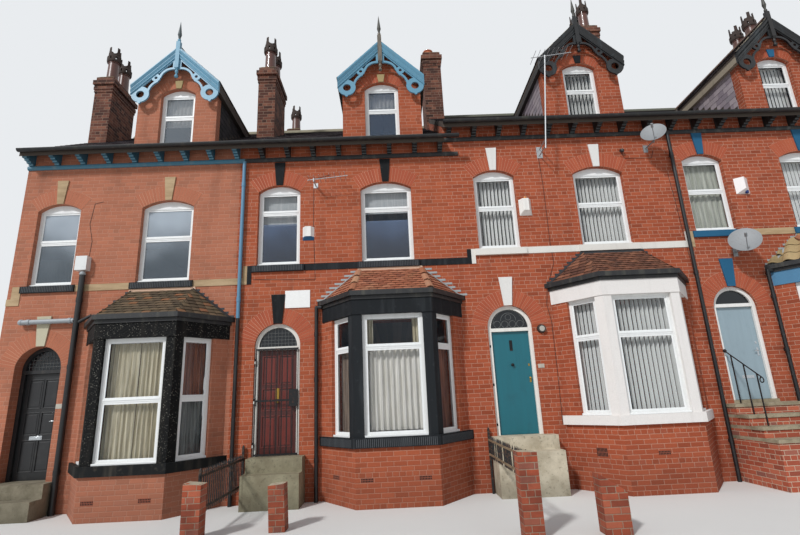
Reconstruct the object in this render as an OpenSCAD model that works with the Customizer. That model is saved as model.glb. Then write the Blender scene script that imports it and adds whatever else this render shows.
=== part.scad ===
// Row of four brick terraced houses stepping up a sloping street.
// Millimetres. X runs along the street, Y = 0 is the front wall's face and Y grows into the houses,
// Z = 0 is the lowest ground. The origin lies on the line that the third house is measured from, at the
// foot of the front face.

/* [Row] */
// Distance between the lines that the houses are measured from
house_w = 4800; // [4600:50:6000]
// Depth of the houses from front face to rear face
house_d = 8000; // [6600:50:9800]
// Rise of the street for each metre of its length
street_rise = 46; // [20:1:60]
// Floor of the second house above the first
step_b = 261; // [100:1:330]
// Floor of the third house above the first
step_c = 443; // [340:1:560]
// Floor of the fourth house above the first
step_d = 658; // [570:1:760]
// Roof of the upper pair of houses above the lower pair
roof_lift = 355; // [260:5:420]

/* [Walls and floors] */
// Thickness of the front and rear walls
front_t = 330; // [275:5:400]
// Thickness of the party walls
party_t = 230; // [190:5:280]
// Thickness of the floors
floor_t = 200; // [160:5:260]
// Ground floor level of the first house
ground_floor_z = 579; // [480:1:640]
// Level where the upper front wall starts, first house
split_z = 3850; // [3800:5:3950]
// First floor level of the first house
first_floor_z = 3650; // [3600:5:3750]
// Attic floor level of the lower pair
attic_floor_z = 7050; // [6950:5:7100]

/* [Doors] */
// Centre of a doorway from the house's left line
door_x = 622; // [600:1:720]
// Width of a doorway
door_w = 928; // [780:1:960]
// Height of a doorway's crown above its threshold
door_crown = 2574; // [2500:1:2620]
// Rise of a doorway's arch
door_rise = 424; // [300:1:460]
// Height of a door leaf
leaf_h = 2030; // [1900:5:2060]
// Height of the fourth house's shorter door leaf
leaf_h_d = 1880; // [1780:5:1890]
// Extra height of the fourth house's threshold
door_lift_d = 250; // [240:5:300]
// Thickness of a door leaf
leaf_t = 44; // [38:1:54]
// Width of the door frame's face
door_frame_w = 62; // [50:1:75]
// Clearance round a door leaf or a gate
swing_gap = 5; // [5:1:8]
// Rise of one doorstep
step_rise = 250; // [220:5:300]
// Going of one doorstep
step_going = 300; // [260:5:380]
// Width of the doorsteps
step_w = 1240; // [1100:10:1400]
// Rise of one of the fourth house's steps
step_rise_d = 195; // [170:5:210]

/* [Bays] */
// Centre of a bay from the house's left line
bay_x = 2990; // [2960:5:3100]
// Width of a bay at the wall
bay_wall_w = 2864; // [2700:5:2960]
// Width of a bay's front face
bay_front_w = 1493; // [1300:5:1600]
// Projection of a bay
bay_proj = 894; // [750:5:1070]
// Top of the bay's sill, first house
bay_sill_z = 903; // [860:1:1000]
// Height of the bay's sill
bay_sill_h = 170; // [140:5:200]
// Bottom of the bay's lintel, first house
bay_lintel_z = 3125; // [2900:5:3200]
// Height of the bay's lintel
bay_lintel_h = 286; // [240:2:320]
// Thickness of the bay's walls
bay_t = 230; // [190:5:250]
// Length of the brick jamb beside the wall
bay_jamb = 340; // [280:5:400]
// Length of a corner post along each face
bay_post = 170; // [140:5:200]
// Top of the bay's roof at the wall, first house
bay_roof_z = 4218; // [4150:2:4230]
// Width of the bay roof's ridge at the wall
bay_ridge_w = 1329; // [1000:1:1500]
// Overhang of the bay's gutter
bay_gutter_out = 95; // [70:5:120]

/* [Upper windows] */
// Centre and width of the small window
small_x = 595; // [560:5:700]
// Width of the small window
small_w = 925; // [770:1:940]
// Centre of the large window
large_x = 2956; // [2900:1:3100]
// Width of the large window
large_w = 1128; // [940:1:1354]
// Top of the upper window sills, first house
upper_sill_z = 4423; // [4380:1:4500]
// Crown of the upper windows, first house
upper_crown_z = 6265; // [6100:1:6270]
// Rise of the upper windows' arches
upper_rise = 157; // [100:1:190]
// Height of the sills and of the band between them
sill_h = 155; // [120:5:180]
// Width of a window frame's face
window_frame_w = 58; // [48:1:75]
// Depth of a window frame
window_frame_d = 70; // [55:1:90]
// Distance of the window frames behind the wall face
reveal = 110; // [80:5:140]

/* [Eaves and roof] */
// Bottom of the string moulding, lower pair
string_z = 7097; // [7090:1:7130]
// Height of the string moulding
string_h = 90; // [70:5:110]
// Top of the gutter, lower pair
gutter_z = 7421; // [7400:1:7480]
// Overhang of the roof's eaves
eave_out = 330; // [300:5:400]
// Rise of the main roof from gutter to ridge
roof_rise = 2810; // [2600:10:3200]
// Thickness of the roof slopes
roof_t = 120; // [90:5:140]
// Spacing of the eaves brackets
bracket_gap = 573; // [480:1:680]
// Width of an eaves bracket
bracket_w = 100; // [80:5:120]
// Depth of the chimney stacks from front to back
stack_d = 1150; // [950:10:1180]

/* [Dormers] */
// Centre of a dormer from the house's left line
dormer_x = 2942; // [2900:1:3100]
// Width of a dormer's front
dormer_w = 1849; // [1600:1:2200]
// Distance of the dormer's front behind the wall face
dormer_back = 60; // [40:5:120]
// Pitch of the dormer's roof in degrees
dormer_pitch = 44.3; // [40:0.1:46]
// Drop of the dormer's ridge below the main ridge
dormer_drop = 80; // [60:5:160]
// Overhang of the dormer's roof at its sides
dormer_side_out = 95; // [70:5:140]
// Overhang of the dormer's roof at the front
dormer_front_out = 150; // [120:5:260]
// Width of a dormer window
dormer_win_w = 801; // [670:1:960]
// Sill of the dormer windows, lower pair
dormer_sill_z = 7700; // [7690:5:7800]
// Crown of the dormer windows, lower pair
dormer_crown_z = 9147; // [8900:1:9160]
// Upright depth of a bargeboard
barge_h = 280; // [230:5:320]
// Width of the post at a gable's head
barge_post_w = 95; // [80:5:120]

/* [Hidden] */
$fn = 64;
// Clearance where a frame or a pane sits in its seat
seat = 0.5;
// Clearance between the knuckles of a hinge
slip = 0.4;
// Clearance where a sloping or canted face is bedded on the next piece
bed = 0.1;
n = 4;
// Distance of each party wall's centre left of the line that its house is measured from
party_in = [115, 180, 385, 200, 180];

// Measuring line, floor step and roof lift of house i
function x0(i) = (i - n / 2) * house_w;
function step(i) = [0, step_b, step_c, step_d][i];
function lift(i) = i < n / 2 ? 0 : roof_lift;
function first(pair) = pair * n / 2;
function party_x(i) = x0(i) - party_in[i];
// Where house i meets the house before it: the left face of their party wall
function wall_x(i) = party_x(i) + (i == n ? 1 : -1) * party_t / 2;
// Ends of a pair of houses, and its length
function pair_start(pair) = wall_x(first(pair));
function pair_end(pair) = wall_x(first(pair) + n / 2);
function pair_l(pair) = pair_end(pair) - pair_start(pair);

brick = "#a4553b";
dark_slate = "#3c3b3f";
stone = "#b9a77c";
black_paint = "#26282b";
white_paint = "#e9e8e2";
blue_paint = "#3f7f9f";
trim = [stone, black_paint, white_paint, blue_paint];

roof_run = house_d / 2 + eave_out;
roof_tan = roof_rise / roof_run;
roof_v = roof_t * sqrt(1 + roof_tan * roof_tan);
eave_z = gutter_z + 10;
dormer_tan = tan(dormer_pitch);
dormer_t = 70;
dormer_v = dormer_t / cos(dormer_pitch);
ridge_z = eave_z + roof_rise;
dormer_ridge_z = ridge_z - dormer_drop;
dormer_half = dormer_w / 2 + dormer_side_out;
function roof_top(y) = eave_z + (y + eave_out) * roof_tan;
function roof_under(y) = roof_top(y) - roof_v;
function wall_top(y) = roof_under(y) - bed;
function roof_y(z) = (z - eave_z) / roof_tan - eave_out;
function valley_y(dx) = roof_y(dormer_ridge_z - dx * dormer_tan);
function dormer_under(dx) = dormer_ridge_z - dx * dormer_tan - dormer_v;
function gable_top(dx) = dormer_under(dx) - bed;

// Circular segment arch: an opening of width w whose crown is at height hc
module arch2d(w, hc, r, z0 = 0) {
  spring = hc - r + sqrt(r * r - w * w / 4);
  translate([-w / 2, z0]) square([w, spring - z0]);
  intersection() {
    translate([0, hc - r]) circle(r, $fn = 96);
    translate([-w / 2, spring - 30]) square([w, hc - spring + 31]);
  }
}

function arch_radius(w, rise) = (w * w / 4 + rise * rise) / (2 * rise);

// Stands a flat outline up in the plane of the wall, from depth y0 to y1
module upright(y0, y1) translate([0, y1, 0]) rotate([90, 0, 0]) linear_extrude(y1 - y0) children();

// Sweeps a side outline, drawn as depth and height, along X from xa to xb
module along_x(xa, xb) translate([xa, 0, 0]) rotate([90, 0, 90]) linear_extrude(xb - xa) children();

module box(x, y, z) translate([x[0], y[0], z[0]]) cube([x[1] - x[0], y[1] - y[0], z[1] - z[0]]);

door_half = door_w / 2;
door_r = arch_radius(door_w, door_rise);
function door_z(i) = ground_floor_z + step(i) + (i == n - 1 ? door_lift_d : 0);
function door_crown_z(i) = ground_floor_z + step(i) + door_crown;
function door_h(i) = door_crown_z(i) - door_z(i);
function door_spring_z(i) = door_crown_z(i) - min(door_rise, door_half);
function leaf_height(i) = i == n - 1 ? leaf_h_d : leaf_h;

// Outline and place of the upper windows: 0 is the small one, 1 the large one
function win_x(k) = k == 0 ? small_x : large_x;
function win_w(k) = k == 0 ? small_w : large_w;
upper_h = upper_crown_z - upper_sill_z;

module upper_opening(i, k, grow = 0)
  translate([x0(i) + win_x(k), upper_sill_z + step(i)])
    arch2d(win_w(k) - 2 * grow, upper_h - grow, arch_radius(win_w(k), upper_rise) - grow, grow);

dormer_rise = 150;
module dormer_opening(i, grow = 0)
  translate([x0(i) + dormer_x, dormer_sill_z + lift(i)])
    arch2d(dormer_win_w - 2 * grow, dormer_crown_z - dormer_sill_z - grow,
      arch_radius(dormer_win_w, dormer_rise) - grow, grow);

// Tapered keystone standing on a crown
module keystone2d(x, z, w_low, w_top, h)
  translate([x, z]) polygon([[-w_low / 2, 0], [w_low / 2, 0], [w_top / 2, h], [-w_top / 2, h]]);

key_out = 28;
key_in = 90;
key_low = 140;
key_top = 240;
door_key_h = 610;
dormer_key_h = 200;

module upper_key(i, k) {
  z = upper_crown_z + step(i);
  h = min(548, string_z + lift(i) - seat - z);
  upright(-key_out, key_in) keystone2d(x0(i) + win_x(k), z, key_low, key_top, h);
}

module door_key(i)
  upright(-key_out, key_in) keystone2d(x0(i) + door_x, door_crown_z(i), 170, 290, door_key_h);

module dormer_key(i)
  upright(dormer_back - key_out, dormer_back + key_in)
    keystone2d(x0(i) + dormer_x, dormer_crown_z + lift(i), 120, 190, dormer_key_h);

module house_keys(i) {
  for (k = [0, 1]) upper_key(i, k);
  door_key(i);
}

module keystones() for (i = [0:n - 1]) color(trim[i]) {
  house_keys(i);
  dormer_key(i);
}

sill_out = 55;
sill_horn = 95;
band_out = 14;
band_in = 100;

module upper_sill(i, k) {
  x = x0(i) + win_x(k);
  w = win_w(k) / 2 + sill_horn;
  z = upper_sill_z + step(i);
  along_x(x - w, x + w)
    polygon([[-sill_out, z - sill_h], [reveal, z - sill_h], [reveal, z], [0, z], [-sill_out, z - 18]]);
}

module dormer_sill(i) {
  x = x0(i) + dormer_x;
  w = dormer_win_w / 2 + 60;
  z = dormer_sill_z + lift(i);
  box([x - w, x + w], [dormer_back - 40, dormer_back + reveal], [z - 110, z]);
}

module window_sills() for (i = [0:n - 1]) color(trim[i]) {
  for (k = [0, 1]) upper_sill(i, k);
  dormer_sill(i);
}

// Stone band between the sills, which climbs in a block to the next house's first sill
band_block = 180;
function band_top(i) = upper_sill_z + (i < 0 ? -step_b : step(i)) - 8;
function first_sill_x(i) = x0(i) + small_x - small_w / 2 - sill_horn;
module band_to(i, from, to) {
  z1 = band_top(i);
  box([from, to], [-band_out, band_in], [z1 - sill_h + 12, z1]);
  if (i < n - 1) box([to - band_block, to], [-band_out, band_in], [z1 - 1, band_top(i + 1)]);
}

module band(i) {
  z1 = band_top(i);
  b = x0(i) + small_x + small_w / 2 + sill_horn;
  c = x0(i) + large_x - large_w / 2 - sill_horn;
  d = x0(i) + large_x + large_w / 2 + sill_horn;
  box([b, c], [-band_out, band_in], [z1 - sill_h + 12, z1]);
  band_to(i, d, i < n - 1 ? first_sill_x(i + 1) : wall_x(n));
  if (i == 0) band_to(-1, wall_x(0), first_sill_x(0));
}

module sill_bands() for (i = [0:n - 1]) color(trim[i]) band(i);

// Stones set in the upper front wall of a house
module upper_stones(i) {
  house_keys(i);
  for (k = [0, 1]) upper_sill(i, k);
  band(i);
}

module upper_front(i) {
  z = split_z + step(i);
  color(brick) difference() {
    along_x(wall_x(i), wall_x(i + 1))
      polygon([[0, z], [front_t, z], [front_t, wall_top(front_t) + lift(i)], [0, wall_top(0) + lift(i)]]);
    upright(-10, front_t + 10) for (k = [0, 1]) upper_opening(i, k);
    upper_stones(i);
    if (i > 0) band(i - 1);
    x = x0(i) + dormer_x;
    box([x - dormer_w / 2, x + dormer_w / 2], [dormer_back, front_t + 10],
      [wall_top(0) + lift(i), ridge_z + lift(i)]);
  }
}

module upper_front_a() upper_front(0);
module upper_front_b() upper_front(1);
module upper_front_c() upper_front(2);
module upper_front_d() upper_front(3);

// Canted bay outline: slope, length and inner corner of the cant
cant_a = atan2(bay_proj, (bay_wall_w - bay_front_w) / 2);
cant_l = norm([bay_proj, (bay_wall_w - bay_front_w) / 2]);
cant_win = cant_l - bay_jamb - bay_post;
bay_open = floor(bay_wall_w / 2 - bay_t / sin(cant_a));

// Points of the bay's outline moved outwards by d: right end at the wall, then right front corner
function bay_wall_pt(d) = [bay_wall_w / 2 + d / sin(cant_a), 0];
function bay_corner_pt(d) = [bay_front_w / 2 + d * tan(cant_a / 2), -bay_proj - d];
function flip(p) = [-p[0], p[1]];
function bay_line(d) = [bay_wall_pt(d), bay_corner_pt(d), flip(bay_corner_pt(d)), flip(bay_wall_pt(d))];
function back_line(d) = [flip(bay_wall_pt(d)), flip(bay_corner_pt(d)), bay_corner_pt(d), bay_wall_pt(d)];

module at_bay(i, z = 0) translate([x0(i) + bay_x, 0, z + step(i)]) children();

// Band of the bay's outline between two offsets
module bay_band(out, inner, h) linear_extrude(h) polygon(concat(bay_line(out), back_line(inner)));

// Puts children on a cant: X from the wall to the corner, Y outwards
module on_cant(side) mirror([side < 0 ? 1 : 0, 0, 0])
  translate([bay_wall_w / 2, 0, 0]) rotate(180 + cant_a) children();

plinth_h = bay_sill_z - bay_sill_h;

module bay_plinth_fronts() for (i = [0:n - 1]) color(brick)
  translate([x0(i) + bay_x, 0, 0]) linear_extrude(plinth_h + step(i))
    polygon([bay_corner_pt(0), flip(bay_corner_pt(0)), flip(bay_corner_pt(-bay_t)), bay_corner_pt(-bay_t)]);

module bay_plinth_cants() for (i = [0:n - 1], side = [-1, 1]) color(brick)
  translate([x0(i) + bay_x, 0, 0]) mirror([side < 0 ? 1 : 0, 0, 0]) linear_extrude(plinth_h + step(i))
    polygon([bay_wall_pt(0), bay_corner_pt(0), bay_corner_pt(-bay_t), bay_wall_pt(-bay_t)]);

module bay_sills() for (i = [0:n - 1]) color(trim[i])
  at_bay(i, bay_sill_z - bay_sill_h) bay_band(60, -bay_t, bay_sill_h);

bay_light_h = bay_lintel_z - bay_sill_z;

module bay_brick_jambs() for (i = [0:n - 1], side = [-1, 1]) color(brick)
  at_bay(i, bay_sill_z) on_cant(side) linear_extrude(bay_light_h)
    polygon([[bed, 0], [bay_jamb, 0], [bay_jamb, -bay_t], [bay_t / tan(cant_a) + bed, -bay_t]]);

post_t = 190;
module bay_posts() for (i = [0:n - 1], side = [-1, 1]) color(trim[i])
  at_bay(i, bay_sill_z) mirror([side < 0 ? 1 : 0, 0, 0]) linear_extrude(bay_light_h) {
    o = bay_corner_pt(0);
    u = [cos(cant_a), sin(cant_a)];
    v = [-sin(cant_a), cos(cant_a)];
    polygon([o, o + bay_post * u, o + bay_post * u + post_t * v,
      o + [-bay_post, post_t], o + [-bay_post, 0]]);
  }

module bay_lintels() for (i = [0:n - 1]) color(trim[i])
  at_bay(i, bay_lintel_z) bay_band(18, -bay_t, bay_lintel_h);

bay_eave_z = bay_lintel_z + bay_lintel_h;
bay_gutter_h = 95;
bay_fascia_h = 70;

// Fascia and gutter that run round the head of a bay
module bay_gutters() for (i = [0:n - 1]) color(black_paint) at_bay(i, bay_eave_z) {
  bay_band(40, -bay_t, bay_fascia_h);
  difference() {
    translate([0, 0, bay_fascia_h]) bay_band(bay_gutter_out, -bay_t, bay_gutter_h);
    translate([0, 0, bay_fascia_h + 20]) bay_band(bay_gutter_out - 14, 30, bay_gutter_h);
  }
}

// Hipped roof that leans on the wall
module bay_roofs() for (i = [0:n - 1]) color(dark_slate) {
  z0 = bay_eave_z + bay_fascia_h + bay_gutter_h;
  e = bay_wall_pt(20);
  c = bay_corner_pt(20);
  r = [bay_ridge_w / 2, 0];
  at_bay(i) polyhedron(
    points = [[-e[0], 0, z0], [-c[0], c[1], z0], [c[0], c[1], z0], [e[0], 0, z0],
      [r[0], 0, bay_roof_z], [-r[0], 0, bay_roof_z]],
    faces = [[0, 1, 2, 3], [1, 5, 4, 2], [0, 5, 1], [3, 2, 4], [0, 3, 4, 5]]);
}

// Bearing of the brick over a doorway on the piers beside it
arch_bearing = 112;
module over_door(i, grow = 0) {
  w = door_half + arch_bearing;
  box([x0(i) + door_x - w, x0(i) + door_x + w], [-grow, front_t + grow],
    [door_spring_z(i), split_z + step(i) + grow]);
}

// Front wall at street level: brick between the openings
module front_piers() color(brick) difference() {
  union() {
    for (i = [0:n - 1]) {
      box([wall_x(i), x0(i) + door_x - door_half], [0, front_t], [0, split_z + step(i)]);
      box([x0(i) + door_x + door_half, x0(i) + bay_x - bay_open], [0, front_t], [0, split_z + step(i)]);
      box([x0(i) + bay_x + bay_open, wall_x(i + 1)], [0, front_t], [0, split_z + step(i)]);
    }
  }
  for (i = [0:n - 1]) over_door(i, 1);
}

module door_cut(i) upright(-10, front_t + 10)
  translate([x0(i) + door_x, door_z(i)]) arch2d(door_w, door_h(i), door_r);

// Brick over a doorway, cut to the arch
module door_arch_walls() color(brick) for (i = [0:n - 1]) difference() {
  over_door(i);
  door_cut(i);
  door_key(i);
}

module walls_over_bays() color(brick) for (i = [0:n - 1]) {
  x = x0(i) + bay_x;
  box([x - bay_open, x + bay_open], [0, front_t], [bay_lintel_z + step(i), split_z + step(i)]);
}

// Outline of a party wall under a roof that is lifted by up
module gable2d(up) polygon([
  [front_t, 0], [house_d - front_t, 0], [house_d - front_t, wall_top(front_t) + up],
  [house_d / 2, wall_top(house_d / 2) + up], [front_t, wall_top(front_t) + up]]);

// Each wall stands under the roof on its right, so that the middle one closes the step between the roofs
module party_walls() color(brick) for (i = [0:n])
  along_x(party_x(i) - party_t / 2, party_x(i) + party_t / 2) gable2d(lift(min(i, n - 1)));

// Rear wall of a pair, with two windows to a house on each storey
rear_win_w = 1000;
rear_win_h = 1500;
rear_sill = 850;
function rear_x(i, k) = x0(i) + house_w * (k == 0 ? 0.28 : 0.72);

module rear_lights(i, grow = 0) for (k = [0, 1], z = [ground_floor_z, first_floor_z])
  translate([rear_x(i, k) - rear_win_w / 2 + grow, z + step(i) + rear_sill + grow])
    square([rear_win_w - 2 * grow, rear_win_h - 2 * grow]);

module rear_wall(pair) color(brick) difference() {
  i = first(pair);
  along_x(pair_start(pair), pair_end(pair)) polygon([
    [house_d - front_t, 0], [house_d, 0], [house_d, wall_top(0) + lift(i)],
    [house_d - front_t, wall_top(front_t) + lift(i)]]);
  upright(house_d - front_t - 10, house_d + 10) for (k = [i, i + 1]) rear_lights(k);
}

module rear_wall_ab() rear_wall(0);
module rear_wall_cd() rear_wall(1);

module room_slab(i, z) box(
  [party_x(i) + party_t / 2, party_x(i + 1) - party_t / 2], [front_t, house_d - front_t], [z - floor_t, z]);

module ground_floors() color("#8a6a48") for (i = [0:n - 1]) room_slab(i, ground_floor_z + step(i));
module first_floors() color("#8a6a48") for (i = [0:n - 1]) room_slab(i, first_floor_z + step(i));
module attic_floors() color("#8a6a48") for (i = [0:n - 1]) room_slab(i, attic_floor_z + lift(i));

// Floor inside a bay, from the wall's inner face to the bay's walls
module bay_floors() color("#8a6a48") for (i = [0:n - 1])
  translate([x0(i) + bay_x, 0, ground_floor_z + step(i) - floor_t])
    linear_extrude(min(floor_t, plinth_h - ground_floor_z + floor_t)) {
      c = bay_corner_pt(-bay_t - bed);
      w = bay_open - bed;
      polygon([[w, front_t], [w, 0], c, flip(c), [-w, 0], [-w, front_t]]);
    }

// Plan of the hole that a dormer makes in the front slope
module dormer_hole(i) {
  h = dormer_w / 2;
  translate([x0(i) + dormer_x, 0, 0]) linear_extrude(ridge_z * 2) polygon([
    [-h, dormer_back], [h, dormer_back], [h, valley_y(h)], [0, valley_y(0)], [-h, valley_y(h)]]);
}

// Both roof planes of a dormer, out to its eaves and back to its valleys
module dormer_roof(i) {
  h = dormer_half;
  front = dormer_back - dormer_front_out;
  translate([x0(i) + dormer_x, 0, lift(i)]) intersection() {
    upright(front, house_d) polygon([
      [-h, dormer_ridge_z - h * dormer_tan], [0, dormer_ridge_z], [h, dormer_ridge_z - h * dormer_tan],
      [h, dormer_under(h)], [0, dormer_under(0)], [-h, dormer_under(h)]]);
    linear_extrude(ridge_z * 2) polygon([
      [-h, front], [h, front], [h, valley_y(h)], [0, valley_y(0)], [-h, valley_y(h)]]);
  }
}

module roof_front_slopes() color(dark_slate) for (pair = [0, 1]) {
  i = first(pair);
  difference() {
    along_x(pair_start(pair), pair_end(pair)) polygon([
      [-eave_out, roof_under(-eave_out) + lift(i)], [house_d / 2, roof_under(house_d / 2) + lift(i)],
      [house_d / 2, ridge_z + lift(i)], [-eave_out, eave_z + lift(i)]]);
    for (k = [i, i + 1]) {
      dormer_hole(k);
      dormer_roof(k);
      dormer_sill(k);
    }
  }
}

rear_out = 200;
module roof_rear_slopes() color(dark_slate) for (pair = [0, 1]) {
  i = first(pair);
  along_x(pair_start(pair), pair_end(pair)) polygon([
    [house_d / 2, roof_under(house_d / 2) + lift(i)], [house_d + rear_out, roof_under(-rear_out) + lift(i)],
    [house_d + rear_out, roof_top(-rear_out) + lift(i)], [house_d / 2, ridge_z + lift(i)]]);
}

ridge_w = 120;
ridge_h = 70;
module ridge_tiles() color("#6b4436") for (pair = [0, 1]) {
  i = first(pair);
  foot = -ridge_w * roof_tan;
  along_x(pair_start(pair), pair_end(pair)) translate([house_d / 2, ridge_z + lift(i) + bed]) polygon([
    [-ridge_w, foot], [0, 0], [ridge_w, foot], [ridge_w, foot + 30], [30, ridge_h], [-30, ridge_h],
    [-ridge_w, foot + 30]]);
}

dormer_front_t = 230;
module dormer_fronts() color(brick) for (i = [0:n - 1]) difference() {
  h = dormer_w / 2;
  upright(dormer_back, dormer_back + dormer_front_t) translate([x0(i) + dormer_x, lift(i)]) polygon([
    [-h, wall_top(0)], [h, wall_top(0)], [h, gable_top(h)], [0, gable_top(0)], [-h, gable_top(h)]]);
  upright(-10, front_t + 10) dormer_opening(i);
  dormer_key(i);
  dormer_sill(i);
}

cheek_t = 100;
module dormer_cheeks() color(dark_slate) for (i = [0:n - 1], side = [-1, 1])
  translate([x0(i) + dormer_x, 0, lift(i)]) mirror([side < 0 ? 1 : 0, 0, 0]) {
    h = dormer_w / 2;
    y0 = dormer_back + dormer_front_t;
    intersection() {
      along_x(h - cheek_t, h) polygon([[y0, roof_under(y0)], [y0, ridge_z], [house_d / 2, ridge_z],
        [house_d / 2, roof_under(house_d / 2)]]);
      upright(y0, house_d / 2) polygon([[0, 0], [h, 0], [h, gable_top(h)], [0, gable_top(0)]]);
      linear_extrude(ridge_z * 2) polygon([[0, y0], [h, y0], [h, valley_y(h)], [0, valley_y(0)]]);
    }
  }

module dormer_slopes() color(dark_slate) for (i = [0:n - 1]) dormer_roof(i);

// Chimney stacks from left to right: width, front face and height above their own ridge
stack_w = [480, 460, 530, 500, 500];
stack_y = [1800, 1500, 2700, 2400, 1800];
stack_over = [690, 610, 1545, 2100, 900];
stack_cap = 60;
stack_tiers = [[550, 465, 15], [465, 367, 30], [310, 180, 55]];
// The end stacks stand flush with the end walls, and the middle one right of its party wall
function stack_x(i) = i == 0 ? wall_x(0) + stack_w[0] / 2 : i == n ? wall_x(n) - stack_w[n] / 2
  : party_x(i) + (i == n / 2 ? 90 : 0);
function stack_top(i) = ridge_z + lift(min(i, n - 1)) + stack_over[i];

// Brick shaft with two oversailing courses and a cap band below its sloping mortar head
module stack(x, w, y, d, base, top) {
  module tier(z0, z1, out) box([x - w / 2 - out, x + w / 2 + out], [y - out, y + d + out], [z0, z1]);
  module head2d(a, b)
    polygon([[a, top - stack_cap - 1], [b, top - stack_cap - 1], [b - stack_cap, top], [a + stack_cap, top]]);
  tier(base, top - stack_cap, 0);
  for (t = stack_tiers) tier(top - t[0], top - t[1], t[2]);
  intersection() {
    along_x(x - w / 2, x + w / 2) head2d(y, y + d);
    upright(y, y + d) head2d(x - w / 2, x + w / 2);
  }
}

// The one rear stack that shows over the ridge, on the first party wall between houses
rear_stack_y = 5000;
rear_stack_d = 900;
rear_stack_top = ridge_z + 810;

module chimney_stacks() color(brick) difference() {
  union() {
    for (i = [0:n]) stack(stack_x(i), stack_w[i], stack_y[i], stack_d, roof_under(0), stack_top(i));
    stack(stack_x(1), stack_w[1], rear_stack_y, rear_stack_d, roof_under(0), rear_stack_top);
  }
  for (pair = [0, 1]) roof_solid(pair);
}

// All that lies below the top faces of a pair's roof
module roof_solid(pair) {
  up = lift(first(pair)) + bed;
  along_x(pair == 0 ? wall_x(0) - 1000 : wall_x(n / 2), pair == 0 ? wall_x(n / 2) : wall_x(n) + 1000)
    polygon([[0, 0], [house_d, 0], [house_d, roof_top(0) + up], [house_d / 2, ridge_z + up],
      [0, roof_top(0) + up]]);
}

pot_r = 150;
pot_h = 600;
pot_bore = 105;
short_pot_h = 210;
// The tall pots stand in pairs, and the middle stack carries one short pot
pot_places = concat(
  [for (i = [0, 1, 3, 4], k = [0.26, 0.74]) [stack_x(i), stack_y[i] + stack_d * k, stack_top(i)]],
  [[stack_x(1), rear_stack_y + rear_stack_d / 2, rear_stack_top]]);

module pot(h) rotate_extrude() polygon([[pot_bore, 0], [pot_r + 12, 0], [pot_r + 12, 60], [pot_r, 80],
  [pot_r - 12, h - 40], [pot_r + 6, h - 30], [pot_r + 6, h], [pot_bore, h]]);

module chimney_pots() color("#b06a48") {
  for (p = pot_places) translate(p) pot(pot_h);
  translate([stack_x(2) - 60, stack_y[2] + stack_d * 0.3, stack_top(2)]) pot(short_pot_h);
}

// Louvred collar with a crown of four lobes on a tall pot
cowl_r = 190;
cowl_h = 190;
crown_r = 165;
crown_h = 280;
slot_w = 38;
gap_r = 78;
module cowl() difference() {
  rotate_extrude() polygon([[pot_bore, 0], [cowl_r - 12, 0], [cowl_r, 40], [cowl_r, cowl_h - 30],
    [crown_r, cowl_h], [crown_r - 10, cowl_h + crown_h], [crown_r - 40, cowl_h + crown_h],
    [pot_bore, cowl_h]]);
  for (a = [0:45:135]) rotate(a) box([-cowl_r - 1, cowl_r + 1], [-slot_w / 2, slot_w / 2], [55, cowl_h - 45]);
  for (a = [0, 90]) rotate(a + 20) {
    translate([0, 0, cowl_h + crown_h / 2]) rotate([90, 0, 0])
      cylinder(r = gap_r, h = 3 * cowl_r, center = true);
    box([-gap_r, gap_r], [-cowl_r, cowl_r], [cowl_h + crown_h / 2, cowl_h + crown_h + 1]);
  }
}

module pot_cowls() color("#4a3a34") for (p = pot_places) translate([p[0], p[1], p[2] + pot_h]) cowl();

// The lower pair's moulding and gutter run on past the step in the roofs
run_on = 330;
function trim_end(pair) = pair_end(pair) + (pair == 0 ? run_on : 0);

module string_mouldings() for (pair = [0, 1]) color(pair == 0 ? blue_paint : black_paint) {
  z = string_z + lift(first(pair));
  along_x(pair_start(pair), trim_end(pair)) polygon([
    [0, z], [-25, z], [-55, z + 30], [-55, z + string_h - 15], [-40, z + string_h], [0, z + string_h]]);
}

bracket_out = 290;
bracket_tiers = 4;
bracket_tier_h = 31;
function bracket_count(pair) = floor((pair_l(pair) - 1.5 * bracket_w) / bracket_gap) + 1;

// Bracket that steps out in tiers to carry the eaves
module eaves_brackets() for (pair = [0, 1]) color(pair == 0 ? blue_paint : black_paint) {
  up = lift(first(pair));
  start = (pair_start(pair) + pair_end(pair) - (bracket_count(pair) - 1) * bracket_gap) / 2;
  z0 = string_z + string_h + up;
  steps = [for (t = [0:bracket_tiers - 1], e = [0, 1])
    [-bracket_out * (t + 1) / bracket_tiers, z0 + (t + e) * bracket_tier_h]];
  under = [for (q = steps) [q[0], min(q[1], wall_top(q[0]) + up)]];
  for (k = [0:bracket_count(pair) - 1])
    along_x(start + k * bracket_gap - bracket_w / 2, start + k * bracket_gap + bracket_w / 2)
      polygon(concat([[0, wall_top(0) + up], [0, z0]], under, [[-bracket_out, wall_top(-bracket_out) + up]]));
}

gutter_r = 62;
module gutters() color(black_paint) for (pair = [0, 1]) {
  i = first(pair);
  along_x(pair_start(pair), trim_end(pair))
    translate([-eave_out - gutter_r - seat, gutter_z + lift(i)]) gutter2d();
  along_x(pair_start(pair), pair_end(pair))
    translate([house_d + rear_out + gutter_r + seat, roof_top(-rear_out) + lift(i) - 20]) gutter2d();
}

// Half-round gutter
module gutter2d() difference() {
  intersection() {
    circle(gutter_r);
    translate([-gutter_r, -gutter_r]) square([2 * gutter_r, gutter_r]);
  }
  circle(gutter_r - 7);
}

pipe_r = 38;
soil_r = 55;
pipe_gap = 30;
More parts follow.
